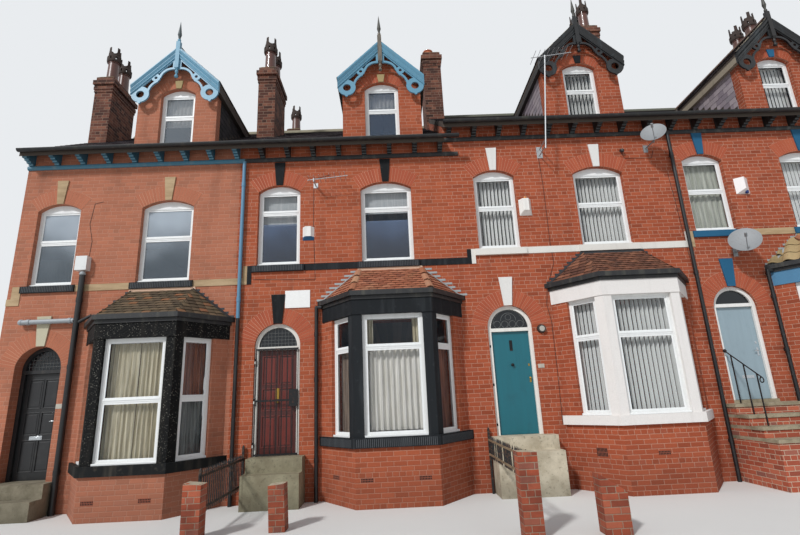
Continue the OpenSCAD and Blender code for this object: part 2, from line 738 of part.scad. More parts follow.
// Pipes down the front: place, head, radius and colour; the first is the soil pipe
bay_pipe_x = 1428;
pipes = [
  [x0(0) + 1330, 4622, soil_r, black_paint], [x0(1) - 188, string_z, pipe_r, blue_paint],
  [x0(1) + bay_pipe_x, bay_eave_z + step_b + 36, pipe_r, black_paint],
  [x0(3) - 110, string_z + roof_lift, pipe_r, black_paint],
  [x0(3) + bay_pipe_x, bay_eave_z + step_d + 36, pipe_r, black_paint]];

// Straight round bar between two points
module rod(a, b, r) {
  d = b - a;
  translate(a) rotate([0, acos(d[2] / norm(d)), atan2(d[1], d[0])]) cylinder(r = r, h = norm(d));
}

// Round pipe with collars, and straps that hold it off the wall
module downpipe(top, r) {
  cylinder(r = r, h = top);
  for (z = [700, (700 + top) / 2, top - 600]) {
    translate([0, 0, z]) cylinder(r = r + 7, h = 90);
    box([-20, 20], [0, r + pipe_gap], [z + 20, z + 70]);
  }
}

// Soil pipe's cap, its branch to the left and the bend that brings the bay's rainwater
branch_z = 3643;
module soil_fittings() {
  translate([0, 0, pipes[0][1]]) sphere(soil_r + 8);
  rod([0, 0, branch_z], [-1120, 0, branch_z], soil_r - 6);
  translate([-1120, 0, branch_z]) sphere(soil_r + 6);
  rod([-1120, 0, branch_z], [-1120, soil_r + pipe_gap, branch_z], soil_r - 6);
  for (x = [-1000, -160]) rod([x, 0, branch_z], [x + 60, 0, branch_z], soil_r + 4);
  rod([0, 0, branch_z - 60], [290, 0, branch_z + 90], pipe_r - 6);
}

// Bend under the end of a bay's gutter
module bay_bend(top) {
  translate([0, 0, top]) sphere(pipe_r);
  rod([0, 0, top], [105, 0, top], pipe_r - 4);
}

module downpipes() for (k = [0:len(pipes) - 1]) color(pipes[k][3])
  translate([pipes[k][0], -pipes[k][2] - pipe_gap, 0]) {
    downpipe(pipes[k][1], pipes[k][2]);
    if (k == 0) soil_fittings();
    if (k == 2 || k == 4) bay_bend(pipes[k][1]);
  }

barge_t = 60;
barge_y = dormer_back - dormer_front_out;
barge_bead = 14;
post_half = barge_post_w / 2;
function verge_z(x) = -x * dormer_tan;

// Puts children at a dormer's ridge, mirrored to its left slope for side -1
module at_gable(i, side = 1) translate([x0(i) + dormer_x, 0, dormer_ridge_z + lift(i)])
  mirror([side < 0 ? 1 : 0, 0, 0]) children();

// Sloping board with a fillet along its head and a bead along its foot, cut upright at both ends
module verge_board() intersection() {
  h = barge_h * cos(dormer_pitch);
  y = barge_y - barge_t;
  rotate([0, dormer_pitch, 0]) along_x(-barge_h, 2 * dormer_half) {
    polygon([[y, -h], [barge_y, -h], [barge_y, 0], [y - barge_bead, 0], [y - barge_bead, -22], [y, -34]]);
    translate([y, -h + barge_bead]) circle(barge_bead);
  }
  box([post_half, dormer_half], [barge_y - 2 * barge_t, barge_y], [-2 * dormer_half, dormer_half]);
}

module bargeboards() for (i = [0:n - 1], side = [-1, 1]) color(i < n / 2 ? blue_paint : black_paint)
  at_gable(i, side) verge_board();

// Pierced fretwork under a verge board: two cut arches meet at a pierced node and end in a scroll ring.
// Centres are given from the gable's ridge.
fret_t = 40;
fret_strip = 50;
fret_rail = 35;
arch_1 = [90, -890];
arch_1_r = 270;
arch_2 = [280, -1250];
arch_2_r = 330;
node_at = [470, -840];
node_r = 100;
node_hole_r = 37;
scroll_at = [800, -1270];
scroll_r = 205;
scroll_hole_r = 92;
scroll_bud_r = 34;

// Point at x that lies down below a verge board's foot
function under_verge(x, down) = [x, verge_z(x) - barge_h - down];

module strip2d(at, r) difference() {
  translate(at) circle(r + fret_strip);
  translate(at) circle(r);
}

module fret2d() difference() {
  union() {
    polygon([under_verge(post_half, 0), under_verge(scroll_at[0], 0), under_verge(scroll_at[0], fret_rail),
      under_verge(post_half, fret_rail)]);
    translate([post_half, arch_1[1] + arch_1_r]) square([fret_strip, barge_h]);
    intersection() {
      strip2d(arch_1, arch_1_r);
      translate([post_half, node_at[1]]) square([node_at[0], node_r * 4]);
    }
    intersection() {
      strip2d(arch_2, arch_2_r);
      translate([node_at[0] - node_r / 2, arch_2[1]]) square([scroll_at[0], 2 * arch_2_r]);
    }
    translate(node_at) circle(node_r);
    translate(scroll_at) circle(scroll_r);
    translate(scroll_at + [12, -scroll_r]) circle(scroll_bud_r);
  }
  translate(node_at) circle(node_hole_r);
  translate(scroll_at) circle(scroll_hole_r);
  polygon([under_verge(0, bed), under_verge(2 * dormer_half, bed), [2 * dormer_half, 0], [0, 0]]);
}

module barge_frets() for (i = [0:n - 1], side = [-1, 1]) color(i < n / 2 ? blue_paint : black_paint)
  at_gable(i, side) upright(barge_y - (barge_t + fret_t) / 2, barge_y - (barge_t - fret_t) / 2) fret2d();

// Square post at the gable's head, with a turned pendant below and a spear finial on top
post_head = 150;
post_foot = -600;
module barge_post() {
  translate([0, barge_y - post_half, 0]) {
    box([-post_half, post_half], [-post_half, post_half], [post_foot, post_head - 20]);
    translate([0, 0, post_head]) rotate_extrude() polygon([
      [0, -21], [post_half - 4, -21], [post_half - 14, 0], [38, 12], [38, 50], [22, 70], [30, 120],
      [47, 190], [30, 330], [12, 480], [0, 580]]);
    translate([0, 0, post_foot]) rotate_extrude() polygon([[0, 1], [42, 1], [42, -20], [24, -45], [38, -80],
      [38, -110], [20, -150], [20, -190], [0, -190]]);
    translate([0, 0, post_foot - 215]) sphere(45);
  }
}

module barge_posts() for (i = [0:n - 1]) color(i < n / 2 ? blue_paint : black_paint) at_gable(i) barge_post();

// Board and soffit along a dormer's side eaves, back to where they meet the main roof
eaves_board_h = 150;
eaves_board_t = 25;
module dormer_eaves() color(black_paint) for (i = [0:n - 1], side = [-1, 1]) {
  top = dormer_under(dormer_half) - bed;
  foot = top - eaves_board_h;
  inner = dormer_half - eaves_board_t;
  translate([x0(i) + dormer_x, 0, lift(i)]) mirror([side < 0 ? 1 : 0, 0, 0]) intersection() {
    upright(barge_y, house_d / 2) polygon([
      [dormer_w / 2 + seat, foot], [dormer_half, foot], [dormer_half, top],
      [inner, top + eaves_board_t * dormer_tan], [inner, foot + 20], [dormer_w / 2 + seat, foot + 20]]);
    along_x(0, dormer_half) polygon([[barge_y, foot - 1], [roof_y(foot - 1) - 1, foot - 1],
      [roof_y(top + dormer_v) - 1, top + dormer_v], [barge_y, top + dormer_v]]);
  }
}

module front_window_frames() color("white") for (i = [0:n - 1]) {
  for (k = [0, 1]) upright(reveal, reveal + window_frame_d) difference() {
    upper_opening(i, k, seat);
    upper_opening(i, k, window_frame_w);
  }
  upright(dormer_back + reveal, dormer_back + reveal + window_frame_d) difference() {
    dormer_opening(i, seat);
    dormer_opening(i, window_frame_w);
  }
}

module rear_window_frames() color("white") for (i = [0:n - 1])
  upright(house_d - reveal - window_frame_d, house_d - reveal) difference() {
    rear_lights(i, seat);
    rear_lights(i, window_frame_w);
  }

bay_reveal = 70;
module bay_lights(i, outer, inner, y0, y1) at_bay(i, bay_sill_z) {
  w = bay_front_w / 2 - bay_post;
  upright(-bay_proj + y0, -bay_proj + y1) difference() {
    translate([-w + outer, outer]) square([2 * w - 2 * outer, bay_light_h - 2 * outer]);
    if (inner > 0) translate([-w + inner, inner]) square([2 * w - 2 * inner, bay_light_h - 2 * inner]);
  }
  for (side = [-1, 1]) on_cant(side) upright(-y1, -y0) difference() {
    translate([bay_jamb + outer, outer]) square([cant_win - 2 * outer, bay_light_h - 2 * outer]);
    if (inner > 0) translate([bay_jamb + inner, inner])
      square([cant_win - 2 * inner, bay_light_h - 2 * inner]);
  }
}

module bay_window_frames() color("white") for (i = [0:n - 1])
  bay_lights(i, seat, window_frame_w, bay_reveal, bay_reveal + window_frame_d);

glass_t = 24;
pane_in = (window_frame_d - glass_t) / 2;
module window_glass() color("#7c93a3") for (i = [0:n - 1]) {
  y1 = house_d - reveal - pane_in;
  upright(reveal + pane_in, reveal + pane_in + glass_t)
    for (k = [0, 1]) upper_opening(i, k, window_frame_w + seat);
  upright(dormer_back + reveal + pane_in, dormer_back + reveal + pane_in + glass_t)
    dormer_opening(i, window_frame_w + seat);
  upright(y1 - glass_t, y1) rear_lights(i, window_frame_w + seat);
  bay_lights(i, window_frame_w + seat, 0, bay_reveal + pane_in, bay_reveal + pane_in + glass_t);
}

// Door frame: outer stop, inner rebate, transom and fanlight
function frame_y(i) = i == 0 ? front_t - 110 : 60;
frame_d = 100;
stop_w = 14;
transom_h = 70;
module door_outline(i, grow) translate([x0(i) + door_x, door_z(i)])
  arch2d(door_w - 2 * grow, door_h(i) - grow, door_r - grow);

module door_frames() for (i = [0:n - 1]) color(i == 0 ? black_paint : "white") {
  y = frame_y(i);
  split = y + frame_d - leaf_t - swing_gap;
  x = x0(i) + door_x;
  zt = door_z(i) + leaf_height(i) + 2 * swing_gap;
  upright(y, split) difference() {
    door_outline(i, seat);
    door_outline(i, door_frame_w + stop_w);
  }
  upright(split, y + frame_d) difference() {
    door_outline(i, seat);
    door_outline(i, door_frame_w);
  }
  upright(y, y + frame_d) intersection() {
    door_outline(i, seat + 20);
    translate([x - door_half, zt]) square([door_w, transom_h]);
  }
  upright(y + 40, y + 52) intersection() {
    door_outline(i, door_frame_w - 10);
    translate([x - door_half, zt + transom_h - 10]) square([door_w, door_crown]);
  }
  for (h = hinge_places) knuckle(i, door_z(i) + swing_gap + leaf_height(i) * h - knuckle_h - slip, -1);
  if (i == gate_i) gate_lugs();
}

// The free edge gets more room, because its corner swings out past the leaf's width
swing_room = swing_gap + 4;
leaf_w = door_w - 2 * door_frame_w - swing_gap - swing_room;
function leaf_x(i) = x0(i) + door_x - door_half + door_frame_w + swing_gap;
function leaf_y(i) = frame_y(i) + frame_d - leaf_t;

// Butt hinges behind the leaf's left edge: the knuckles of frame and leaf take turns on one axis
knuckle_r = 9;
knuckle_h = 60;
hinge_flap = 36;
hinge_flap_t = 6;
function hinge_x(i) = leaf_x(i) - swing_gap / 2;
function hinge_y(i) = frame_y(i) + frame_d + knuckle_r + 3;
hinge_places = [0.12, 0.5, 0.86];

module knuckle(i, z, side) translate([hinge_x(i), hinge_y(i), z]) {
  cylinder(r = knuckle_r, h = knuckle_h);
  translate([side < 0 ? -hinge_flap : 0, -knuckle_r - 3, 0]) cube([hinge_flap, hinge_flap_t, knuckle_h]);
}

// Sunk panels of the two older leaves, and the narrow sight slot of the third: left, right, foot and head
// as shares of the leaf
old_panels = [
  for (r = [[0.08, 0.36], [0.42, 0.62], [0.67, 0.94]], c = [[0.13, 0.46], [0.54, 0.87]]) concat(c, r)];
panels = [old_panels, old_panels, [[0.62, 0.70, 0.62, 0.86]], []];

module door_leaf(i) {
  x = leaf_x(i);
  y = leaf_y(i);
  z = door_z(i) + swing_gap;
  h = leaf_height(i);
  difference() {
    box([x, x + leaf_w], [y, y + leaf_t], [z, z + h]);
    for (p = panels[i])
      box([x + leaf_w * p[0], x + leaf_w * p[1]], [y - 1, y + 8], [z + h * p[2], z + h * p[3]]);
  }
  for (k = hinge_places) knuckle(i, z + h * k, 1);
}

module door_a() color(black_paint) door_leaf(0);
module door_b() color("#5c1f1a") door_leaf(1);
module door_c() color("#2a7d92") door_leaf(2);
module door_d() color("#9fb3c4") door_leaf(3);

// Iron security gate in the second house's doorway, hung on lugs that its frame carries
gate_i = 1;
gate_bar = 14;
gate_rail = 36;
gate_pin_r = 10;
gate_lug = 50;
gate_x = x0(gate_i) + door_x - door_half + 20;
gate_y = 18;
gate_w = door_w - 60;
gate_h = leaf_h + 30;
gate_z = door_z(gate_i) + 12;
gate_bars = 8;
gate_places = [0.1, 0.5, 0.88];

module gate_lugs() for (h = gate_places) translate([0, 0, gate_z + gate_h * h - gate_lug - slip]) {
  translate([gate_x, gate_y, 0]) cylinder(r = gate_pin_r, h = gate_lug);
  box([gate_x - gate_pin_r - 4, gate_x], [gate_y - 6, frame_y(gate_i) + 1], [0, gate_lug]);
}

module gate_b() color(black_paint) {
  x = gate_x + gate_pin_r + 5;
  pitch = (gate_w - gate_bar - gate_pin_r) / gate_bars;
  for (k = [0:gate_bars]) box([x + k * pitch, x + k * pitch + gate_bar],
    [gate_y - gate_bar / 2, gate_y + gate_bar / 2], [gate_z, gate_z + gate_h]);
  for (h = [0, 0.5, 1]) translate([0, 0, gate_z + h * (gate_h - gate_rail)])
    box([x, x + gate_w - gate_pin_r], [gate_y - gate_bar / 2 - 3, gate_y + gate_bar / 2 + 3], [0, gate_rail]);
  for (h = gate_places) translate([gate_x, gate_y, gate_z + gate_h * h]) {
    cylinder(r = gate_pin_r, h = gate_lug);
    translate([0, -5, 0]) cube([gate_pin_r + 8, 10, gate_lug]);
  }
  box([x + gate_w - 190, x + gate_w - gate_pin_r], [gate_y - 22, gate_y + 12],
    [gate_z + gate_h * 0.44, gate_z + gate_h * 0.6]);
}

// Stone steps and threshold, down to the lowest ground. The fourth house has brick steps with stone treads.
step_extra = [0, -180, 0, 72];
step_shift = [20, 50, 20, 0];
tread_t = 60;
tread_nose = 20;
function step_count(i) = i == n - 1 ? 4 : 2;
function tread_z(i, k) = i == n - 1 ? door_z(i) - tread_t - step_rise_d * k : door_z(i) - step_rise * k;
module door_steps() for (i = [0:n - 1]) color(stone) {
  w = (step_w + step_extra[i]) / 2;
  x = x0(i) + door_x + step_shift[i];
  nose = i == n - 1 ? tread_nose : 0;
  box([x0(i) + door_x - door_half, x0(i) + door_x + door_half], [-1, front_t], [0, door_z(i)]);
  for (k = [0:step_count(i) - 1]) {
    y1 = k == 0 ? 0 : -step_going * k + 1;
    box([x - w, x + w], [-step_going * (k + 1), y1], [0, tread_z(i, k)]);
    if (nose > 0) box([x - w - nose, x + w + nose], [-step_going * (k + 1) - nose, y1],
      [tread_z(i, k) - tread_t, tread_z(i, k)]);
  }
}

// Iron handrail on the left of the fourth house's steps: three balusters under a sloping rail with a scroll
rail_x = x0(3) + 183;
rail_h = 940;
rail_r = 12;
rail_slope = step_rise_d / step_going;
function rail_z(y) = tread_z(3, 0) + rail_h + (y + step_going / 2) * rail_slope;
module handrail_d() color(black_paint) {
  rod([rail_x, -seat, rail_z(0)], [rail_x, -2.85 * step_going, rail_z(-2.85 * step_going)], rail_r);
  rod([rail_x, -seat, rail_z(0)], [rail_x, -12, rail_z(0)], 38);
  for (k = [0:2]) {
    y = -step_going * (k + 0.5);
    box([rail_x - 9, rail_x + 9], [y - 9, y + 9], [tread_z(3, k), rail_z(y)]);
    for (z = [tread_z(3, k) + 180, rail_z(y) - 180], b = [-60:30:60])
      translate([rail_x, y, z + b]) sphere(16);
  }
  translate([rail_x, -2.85 * step_going + 6, rail_z(-2.85 * step_going) - 52]) rotate([0, 90, 0])
    rotate_extrude() translate([46, 0]) circle(rail_r - 2);
}

// Brick piers in the yards: place, width, height of the left and right top corners, and lean
yard_piers_at = [
  [x0(1) + 30, -2325, 260, 770, 740, 0], [x0(1) + 1180, -2000, 240, 640, 660, 28],
  [x0(2) - 80, -2990, 260, 1063, 1050, 0], [x0(2) + 1010, -3000, 340, 740, 520, 0]];
pier_d = 250;
module yard_piers() color(brick) for (p = yard_piers_at) translate([p[0], 0, 0])
  upright(p[1] - pier_d / 2, p[1] + pier_d / 2)
    polygon([[-p[2] / 2, 0], [p[2] / 2, 0], [p[2] / 2 - p[5], p[4]], [-p[2] / 2 - p[5], p[3]]]);

// Spear-headed railing from a pier back to the front wall: heights of its rails, foot and bar tops, and which
// of its bars are lost
bar_r = 9;
bar_pitch = 170;
module railing(x, from, rails, foot, tops, lost) {
  bars = floor((-from - 150) / bar_pitch);
  for (z = rails) box([x - 8, x + 8], [from, -seat], [z - 18, z + 18]);
  for (y = [from + 50, -60]) {
    box([x - 20, x + 20], [y - 20, y + 20], [0, tops + (y > -100 ? 120 : -20)]);
    translate([x, y, tops + (y > -100 ? 120 : -20)]) cylinder(r1 = 20, r2 = 6, h = 30);
  }
  for (k = [1:bars]) if (len([for (q = lost) if (q == k) q]) == 0) translate([x, -60 - k * bar_pitch, foot]) {
    cylinder(r = bar_r, h = tops - foot - 60);
    translate([0, 0, tops - foot - 61]) cylinder(r1 = bar_r + 7, r2 = 2, h = 60);
  }
}

module yard_railings() color(black_paint) {
  railing(x0(1) + 30, yard_piers_at[0][1] + pier_d / 2, [360, 820], 290, 930, []);
  railing(x0(2) - 25, yard_piers_at[2][1] + pier_d / 2, [700, 960], 640, 1050, [3, 4, 7, 11, 12]);
}

// Wedge-shaped alarm boxes: place, width, height and depth of each, and half the width of its face
alarms = [
  [x0(1) + 1243, 5350, 250, 300, 80, 60], [x0(2) + 1230, 5770, 270, 370, 110, 62],
  [x0(3) + 1372, 6090, 310, 370, 120, 6]];
module alarm_boxes() color("white") for (a = alarms) translate([a[0], 0, a[1]]) intersection() {
  along_x(-a[2] / 2, a[2] / 2)
    polygon([[0, -a[3] / 2], [0, a[3] / 2], [-a[4], a[3] / 2], [-a[4], -a[3] / 4]]);
  translate([0, 0, -a[3]]) linear_extrude(2 * a[3])
    polygon([[-a[2] / 2, 0], [-a[5], -a[4]], [a[5], -a[4]], [a[2] / 2, 0]]);
}

// Equipment box over the soil pipe, round lamp by the third door and camera under the third house's eaves
module wall_fittings() color("white") {
  box([x0(0) + 1180, x0(0) + 1420], [-150, 0], [4700, 5005]);
  translate([x0(2) + 1267, 0, 3080]) rotate([90, 0, 0]) cylinder(r1 = 95, r2 = 78, h = 65);
  translate([x0(2) + 3591, 0, 7075]) {
    rotate([90, 0, 0]) cylinder(r = 40, h = 30);
    translate([0, -55, -20]) sphere(45);
  }
}

// Dish on a bracket: shallow bowl, arm and receiver, turned to the left and up
dish_turn = 32;
dish_tilt = 24;
module dish(x, y, z, r) {
  sag = r * 0.17;
  translate([x, y, z]) rotate([0, 0, -dish_turn]) rotate([90 - dish_tilt, 0, 0]) {
    rotate_extrude() polygon([
      for (t = [0, 6], k = t == 0 ? [0:6] : [6:-1:0]) [r * k / 6, sag * pow(k / 6, 2) + t]]);
    rod([0, -r * 0.9, sag * 0.8], [0, -r * 0.45, r * 1.15], 9);
    translate([0, -r * 0.42, r * 1.05]) rotate([-18, 0, 0]) cylinder(r = 26, h = 90);
    translate([0, 0, -60]) cylinder(r = 30, h = 64);
  }
  rod([x, y + 55, z - 30], [x, y + 55, z - 190], 19);
  rod([x, y + 55, z - 150], [x, -6, z - 150], 15);
  box([x - 50, x + 50], [-8, 0], [z - 240, z - 60]);
}

module satellite_dishes() color("#9a9c9e") {
  dish(x0(3) + 880, -350, 4700, 300);
  dish(x0(2) + 4160, -eave_out - 90, 7250, 260);
}

// Aerials: a leaning mast with a beam aerial on the third house, and a beam aerial on the second house's wall
function beam_at(a, b, t) = a + (b - a) * t;
module beam(a, b, bars, span) {
  rod(a, b, 9);
  for (k = [0:bars - 1]) {
    p = beam_at(a, b, (k + 0.5) / bars);
    rod(p - [0, span / 2, 0], p + [0, span / 2, 0], 5);
  }
}

mast_y = -eave_out - 150;
mast_foot = [x0(2) + 1690, mast_y, 6950];
mast_head = [x0(2) + 1960, mast_y, 9330];
module aerials() color("#9a9c9e") {
  rod(mast_foot, mast_head, 16);
  for (z = [7020, 7180]) {
    p = beam_at(mast_foot, mast_head, (z - mast_foot[2]) / (mast_head[2] - mast_foot[2]));
    rod(p, [p[0], -6, z], 14);
  }
  box([x0(2) + 1640, x0(2) + 1770], [-8, 0], [6960, 7240]);
  beam(mast_head - [330, 0, 60], mast_head + [620, 0, 60], 9, 480);
  beam([x0(1) + 1260, -300, 6480], [x0(1) + 2140, -300, 6560], 8, 420);
  rod([x0(1) + 1400, -300, 6480], [x0(1) + 1400, -6, 6480], 14);
  rod([x0(1) + 1400, -300, 6440], [x0(1) + 1400, -300, 6520], 16);
  box([x0(1) + 1350, x0(1) + 1450], [-8, 0], [6420, 6540]);
}

party_walls();
front_piers();
door_arch_walls();
walls_over_bays();
upper_front_a();
upper_front_b();
upper_front_c();
upper_front_d();
rear_wall_ab();
rear_wall_cd();
ground_floors();
bay_floors();
first_floors();
attic_floors();
roof_front_slopes();
roof_rear_slopes();
ridge_tiles();
dormer_fronts();
dormer_cheeks();
dormer_slopes();
chimney_stacks();
chimney_pots();
pot_cowls();
keystones();
window_sills();
sill_bands();
string_mouldings();
eaves_brackets();
gutters();
downpipes();
bargeboards();
barge_frets();
barge_posts();
dormer_eaves();
bay_plinth_fronts();
bay_plinth_cants();
bay_brick_jambs();
bay_sills();
bay_posts();
bay_lintels();
bay_gutters();
bay_roofs();
front_window_frames();
bay_window_frames();
rear_window_frames();
window_glass();
door_frames();
door_a();
door_b();
door_c();
door_d();
gate_b();
door_steps();
handrail_d();
yard_piers();
yard_railings();
alarm_boxes();
wall_fittings();
satellite_dishes();
aerials();
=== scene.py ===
"""Looks of a row of four brick terraced houses. Metres, in the frame of the CAD part."""

import math
import random
from collections import namedtuple

import bmesh
import bpy
from mathutils import Matrix, Vector


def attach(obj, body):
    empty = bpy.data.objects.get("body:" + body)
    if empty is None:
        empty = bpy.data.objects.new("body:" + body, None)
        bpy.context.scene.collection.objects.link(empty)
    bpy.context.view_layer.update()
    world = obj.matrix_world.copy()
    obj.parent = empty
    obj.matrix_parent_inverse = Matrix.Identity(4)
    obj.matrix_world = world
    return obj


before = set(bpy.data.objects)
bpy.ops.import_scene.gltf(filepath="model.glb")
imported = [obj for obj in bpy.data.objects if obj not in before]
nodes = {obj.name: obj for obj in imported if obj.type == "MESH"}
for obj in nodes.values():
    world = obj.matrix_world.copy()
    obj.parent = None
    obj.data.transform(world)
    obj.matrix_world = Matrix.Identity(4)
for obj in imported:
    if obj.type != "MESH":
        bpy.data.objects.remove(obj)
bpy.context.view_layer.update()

# Sizes repeated from the CAD source
HOUSES = range(4)
HOUSE_W, HOUSE_D = 4.8, 8.0
LINE = [-9.6, -4.8, 0.0, 4.8]
STEP = [0.0, 0.261, 0.443, 0.658]
LIFT = [0.0, 0.0, 0.355, 0.355]
WALL = [-9.83, -5.095, -0.5, 4.485, 9.535]
FLOOR_Z, FIRST_Z = 0.579, 3.65
DOOR_X, DOOR_W, DOOR_CROWN, DOOR_R, DOOR_FRAME = 0.622, 0.928, 2.574, 0.466, 0.062
DOOR_Y = [0.22, 0.06, 0.06, 0.06]
LEAF_W, LEAF_H = 0.79, [2.03, 2.03, 2.03, 1.88]
BAY_X, BAY_WALL, BAY_FRONT, BAY_OUT = 2.99, 2.864, 1.493, 0.894
BAY_SILL, BAY_LINTEL, BAY_SILL_H = 0.903, 3.125, 0.17
BAY_POST, BAY_JAMB = 0.17, 0.34
BAY_EAVE, BAY_ROOF, BAY_RIDGE = 3.576, 4.218, 1.329
WIN_X, WIN_W = [0.595, 2.956], [0.925, 1.128]
WIN_SILL, WIN_CROWN, WIN_RISE, REVEAL = 4.423, 6.265, 0.157, 0.11
SILL_H, SILL_OUT, SILL_HORN = 0.155, 0.055, 0.095
EAVE_Z, EAVE_OUT, ROOF_RISE, REAR_OUT = 7.431, 0.33, 2.81, 0.2
RIDGE_Z = EAVE_Z + ROOF_RISE
DORMER_X, DORMER_W, DORMER_BACK, DORMER_WALL = 2.942, 1.849, 0.06, 0.23
DORMER_PITCH, DORMER_SIDE, DORMER_FRONT = math.radians(44.3), 0.095, 0.15
DORMER_SILL, DORMER_CROWN, DORMER_RISE, DORMER_WIN = 7.7, 9.147, 0.15, 0.801
DORMER_RIDGE = RIDGE_Z - 0.08
DORMER_HALF = DORMER_W / 2 + DORMER_SIDE
DORMER_FACE = DORMER_BACK - DORMER_FRONT
REAR_W, REAR_H, REAR_SILL = 1.0, 1.5, 0.85
COURSE = 0.084
ROOF_TAN = ROOF_RISE / (HOUSE_D / 2 + EAVE_OUT)
TAN_D, COS_D, SIN_D = math.tan(DORMER_PITCH), math.cos(DORMER_PITCH), math.sin(DORMER_PITCH)
CANT = math.atan2(BAY_OUT, (BAY_WALL - BAY_FRONT) / 2)
CANT_L = math.hypot(BAY_OUT, (BAY_WALL - BAY_FRONT) / 2)
CANT_WIN = CANT_L - BAY_JAMB - BAY_POST
BAY_LIGHT = BAY_LINTEL - BAY_SILL
BAY_GLASS_W = BAY_FRONT - 2 * BAY_POST
ROW = "house_row"

# Lines along the street where the paint of one house changes to the next
EDGES = WALL[1:4]
BAY_EDGES = LINE[1:4]
TRIM_EDGES = [LINE[1] - 0.19, 0.0, 1.0]
BAND_EDGES = [LINE[k] + WIN_X[0] - WIN_W[0] / 2 - SILL_HORN - 0.09 for k in (1, 2, 3)]

move = Matrix.Translation


def roof_y(z):
    return (z - EAVE_Z) / ROOF_TAN - EAVE_OUT


def door_z(i):
    return FLOOR_Z + STEP[i] + (0.25 if i == 3 else 0.0)


def at_front(i, x, y, z):
    return Vector((LINE[i] + x, y, z + STEP[i]))


def at_bay(i, x, y, z):
    return at_front(i, BAY_X + x, y, z)


def at_dormer(i, y, z):
    return Vector((LINE[i] + DORMER_X, y, z + LIFT[i]))


def colour(code):
    """Scene colour of a hexadecimal paint code."""
    parts = [int(code[k:k + 2], 16) / 255 for k in (0, 2, 4)]
    return tuple(c / 12.92 if c <= 0.04045 else ((c + 0.055) / 1.055) ** 2.4 for c in parts) + (1.0,)


def feed(tree, socket, value):
    """Links a socket to another one, or sets it to a value."""
    if isinstance(value, Wire):
        value = value.socket
    if isinstance(value, bpy.types.NodeSocket):
        tree.links.new(value, socket)
    else:
        socket.default_value = value[:3] if socket.type == "VECTOR" else value


def add_node(tree, kind, sockets=None, **settings):
    """Adds a node with its settings. Its sockets are given by number or by name."""
    node = tree.nodes.new(kind)
    for key, value in settings.items():
        setattr(node, key, value)
    for key, value in (sockets or {}).items():
        if not isinstance(key, int):
            key = next(k for k, s in enumerate(node.inputs) if s.enabled and key in (s.name, s.identifier))
        feed(tree, node.inputs[key], value)
    return node


class Wire:
    """A shader socket that can be reckoned with."""

    def __init__(self, paint, socket):
        self.paint, self.socket = paint, socket

    def __rsub__(self, other):
        return self.paint.calc("SUBTRACT", other, self)

    def rise(self, low, high):
        """0 below low, 1 above high and a smooth rise between them."""
        return self.paint.wire("MapRange", {"Value": self, "From Min": low, "From Max": high},
                               interpolation_type="SMOOTHSTEP")


def reckon(operation):
    return lambda wire, *values: wire.paint.calc(operation, wire, *values)


for method, operation in {
        "__add__": "ADD", "__radd__": "ADD", "__sub__": "SUBTRACT", "__mul__": "MULTIPLY",
        "__rmul__": "MULTIPLY", "__truediv__": "DIVIDE", "__mod__": "FLOORED_MODULO",
        "__gt__": "GREATER_THAN", "__lt__": "LESS_THAN", "floor": "FLOOR", "size": "ABSOLUTE",
        "least": "MINIMUM", "most": "MAXIMUM", "sine": "SINE", "root": "SQRT"}.items():
    setattr(Wire, method, reckon(operation))


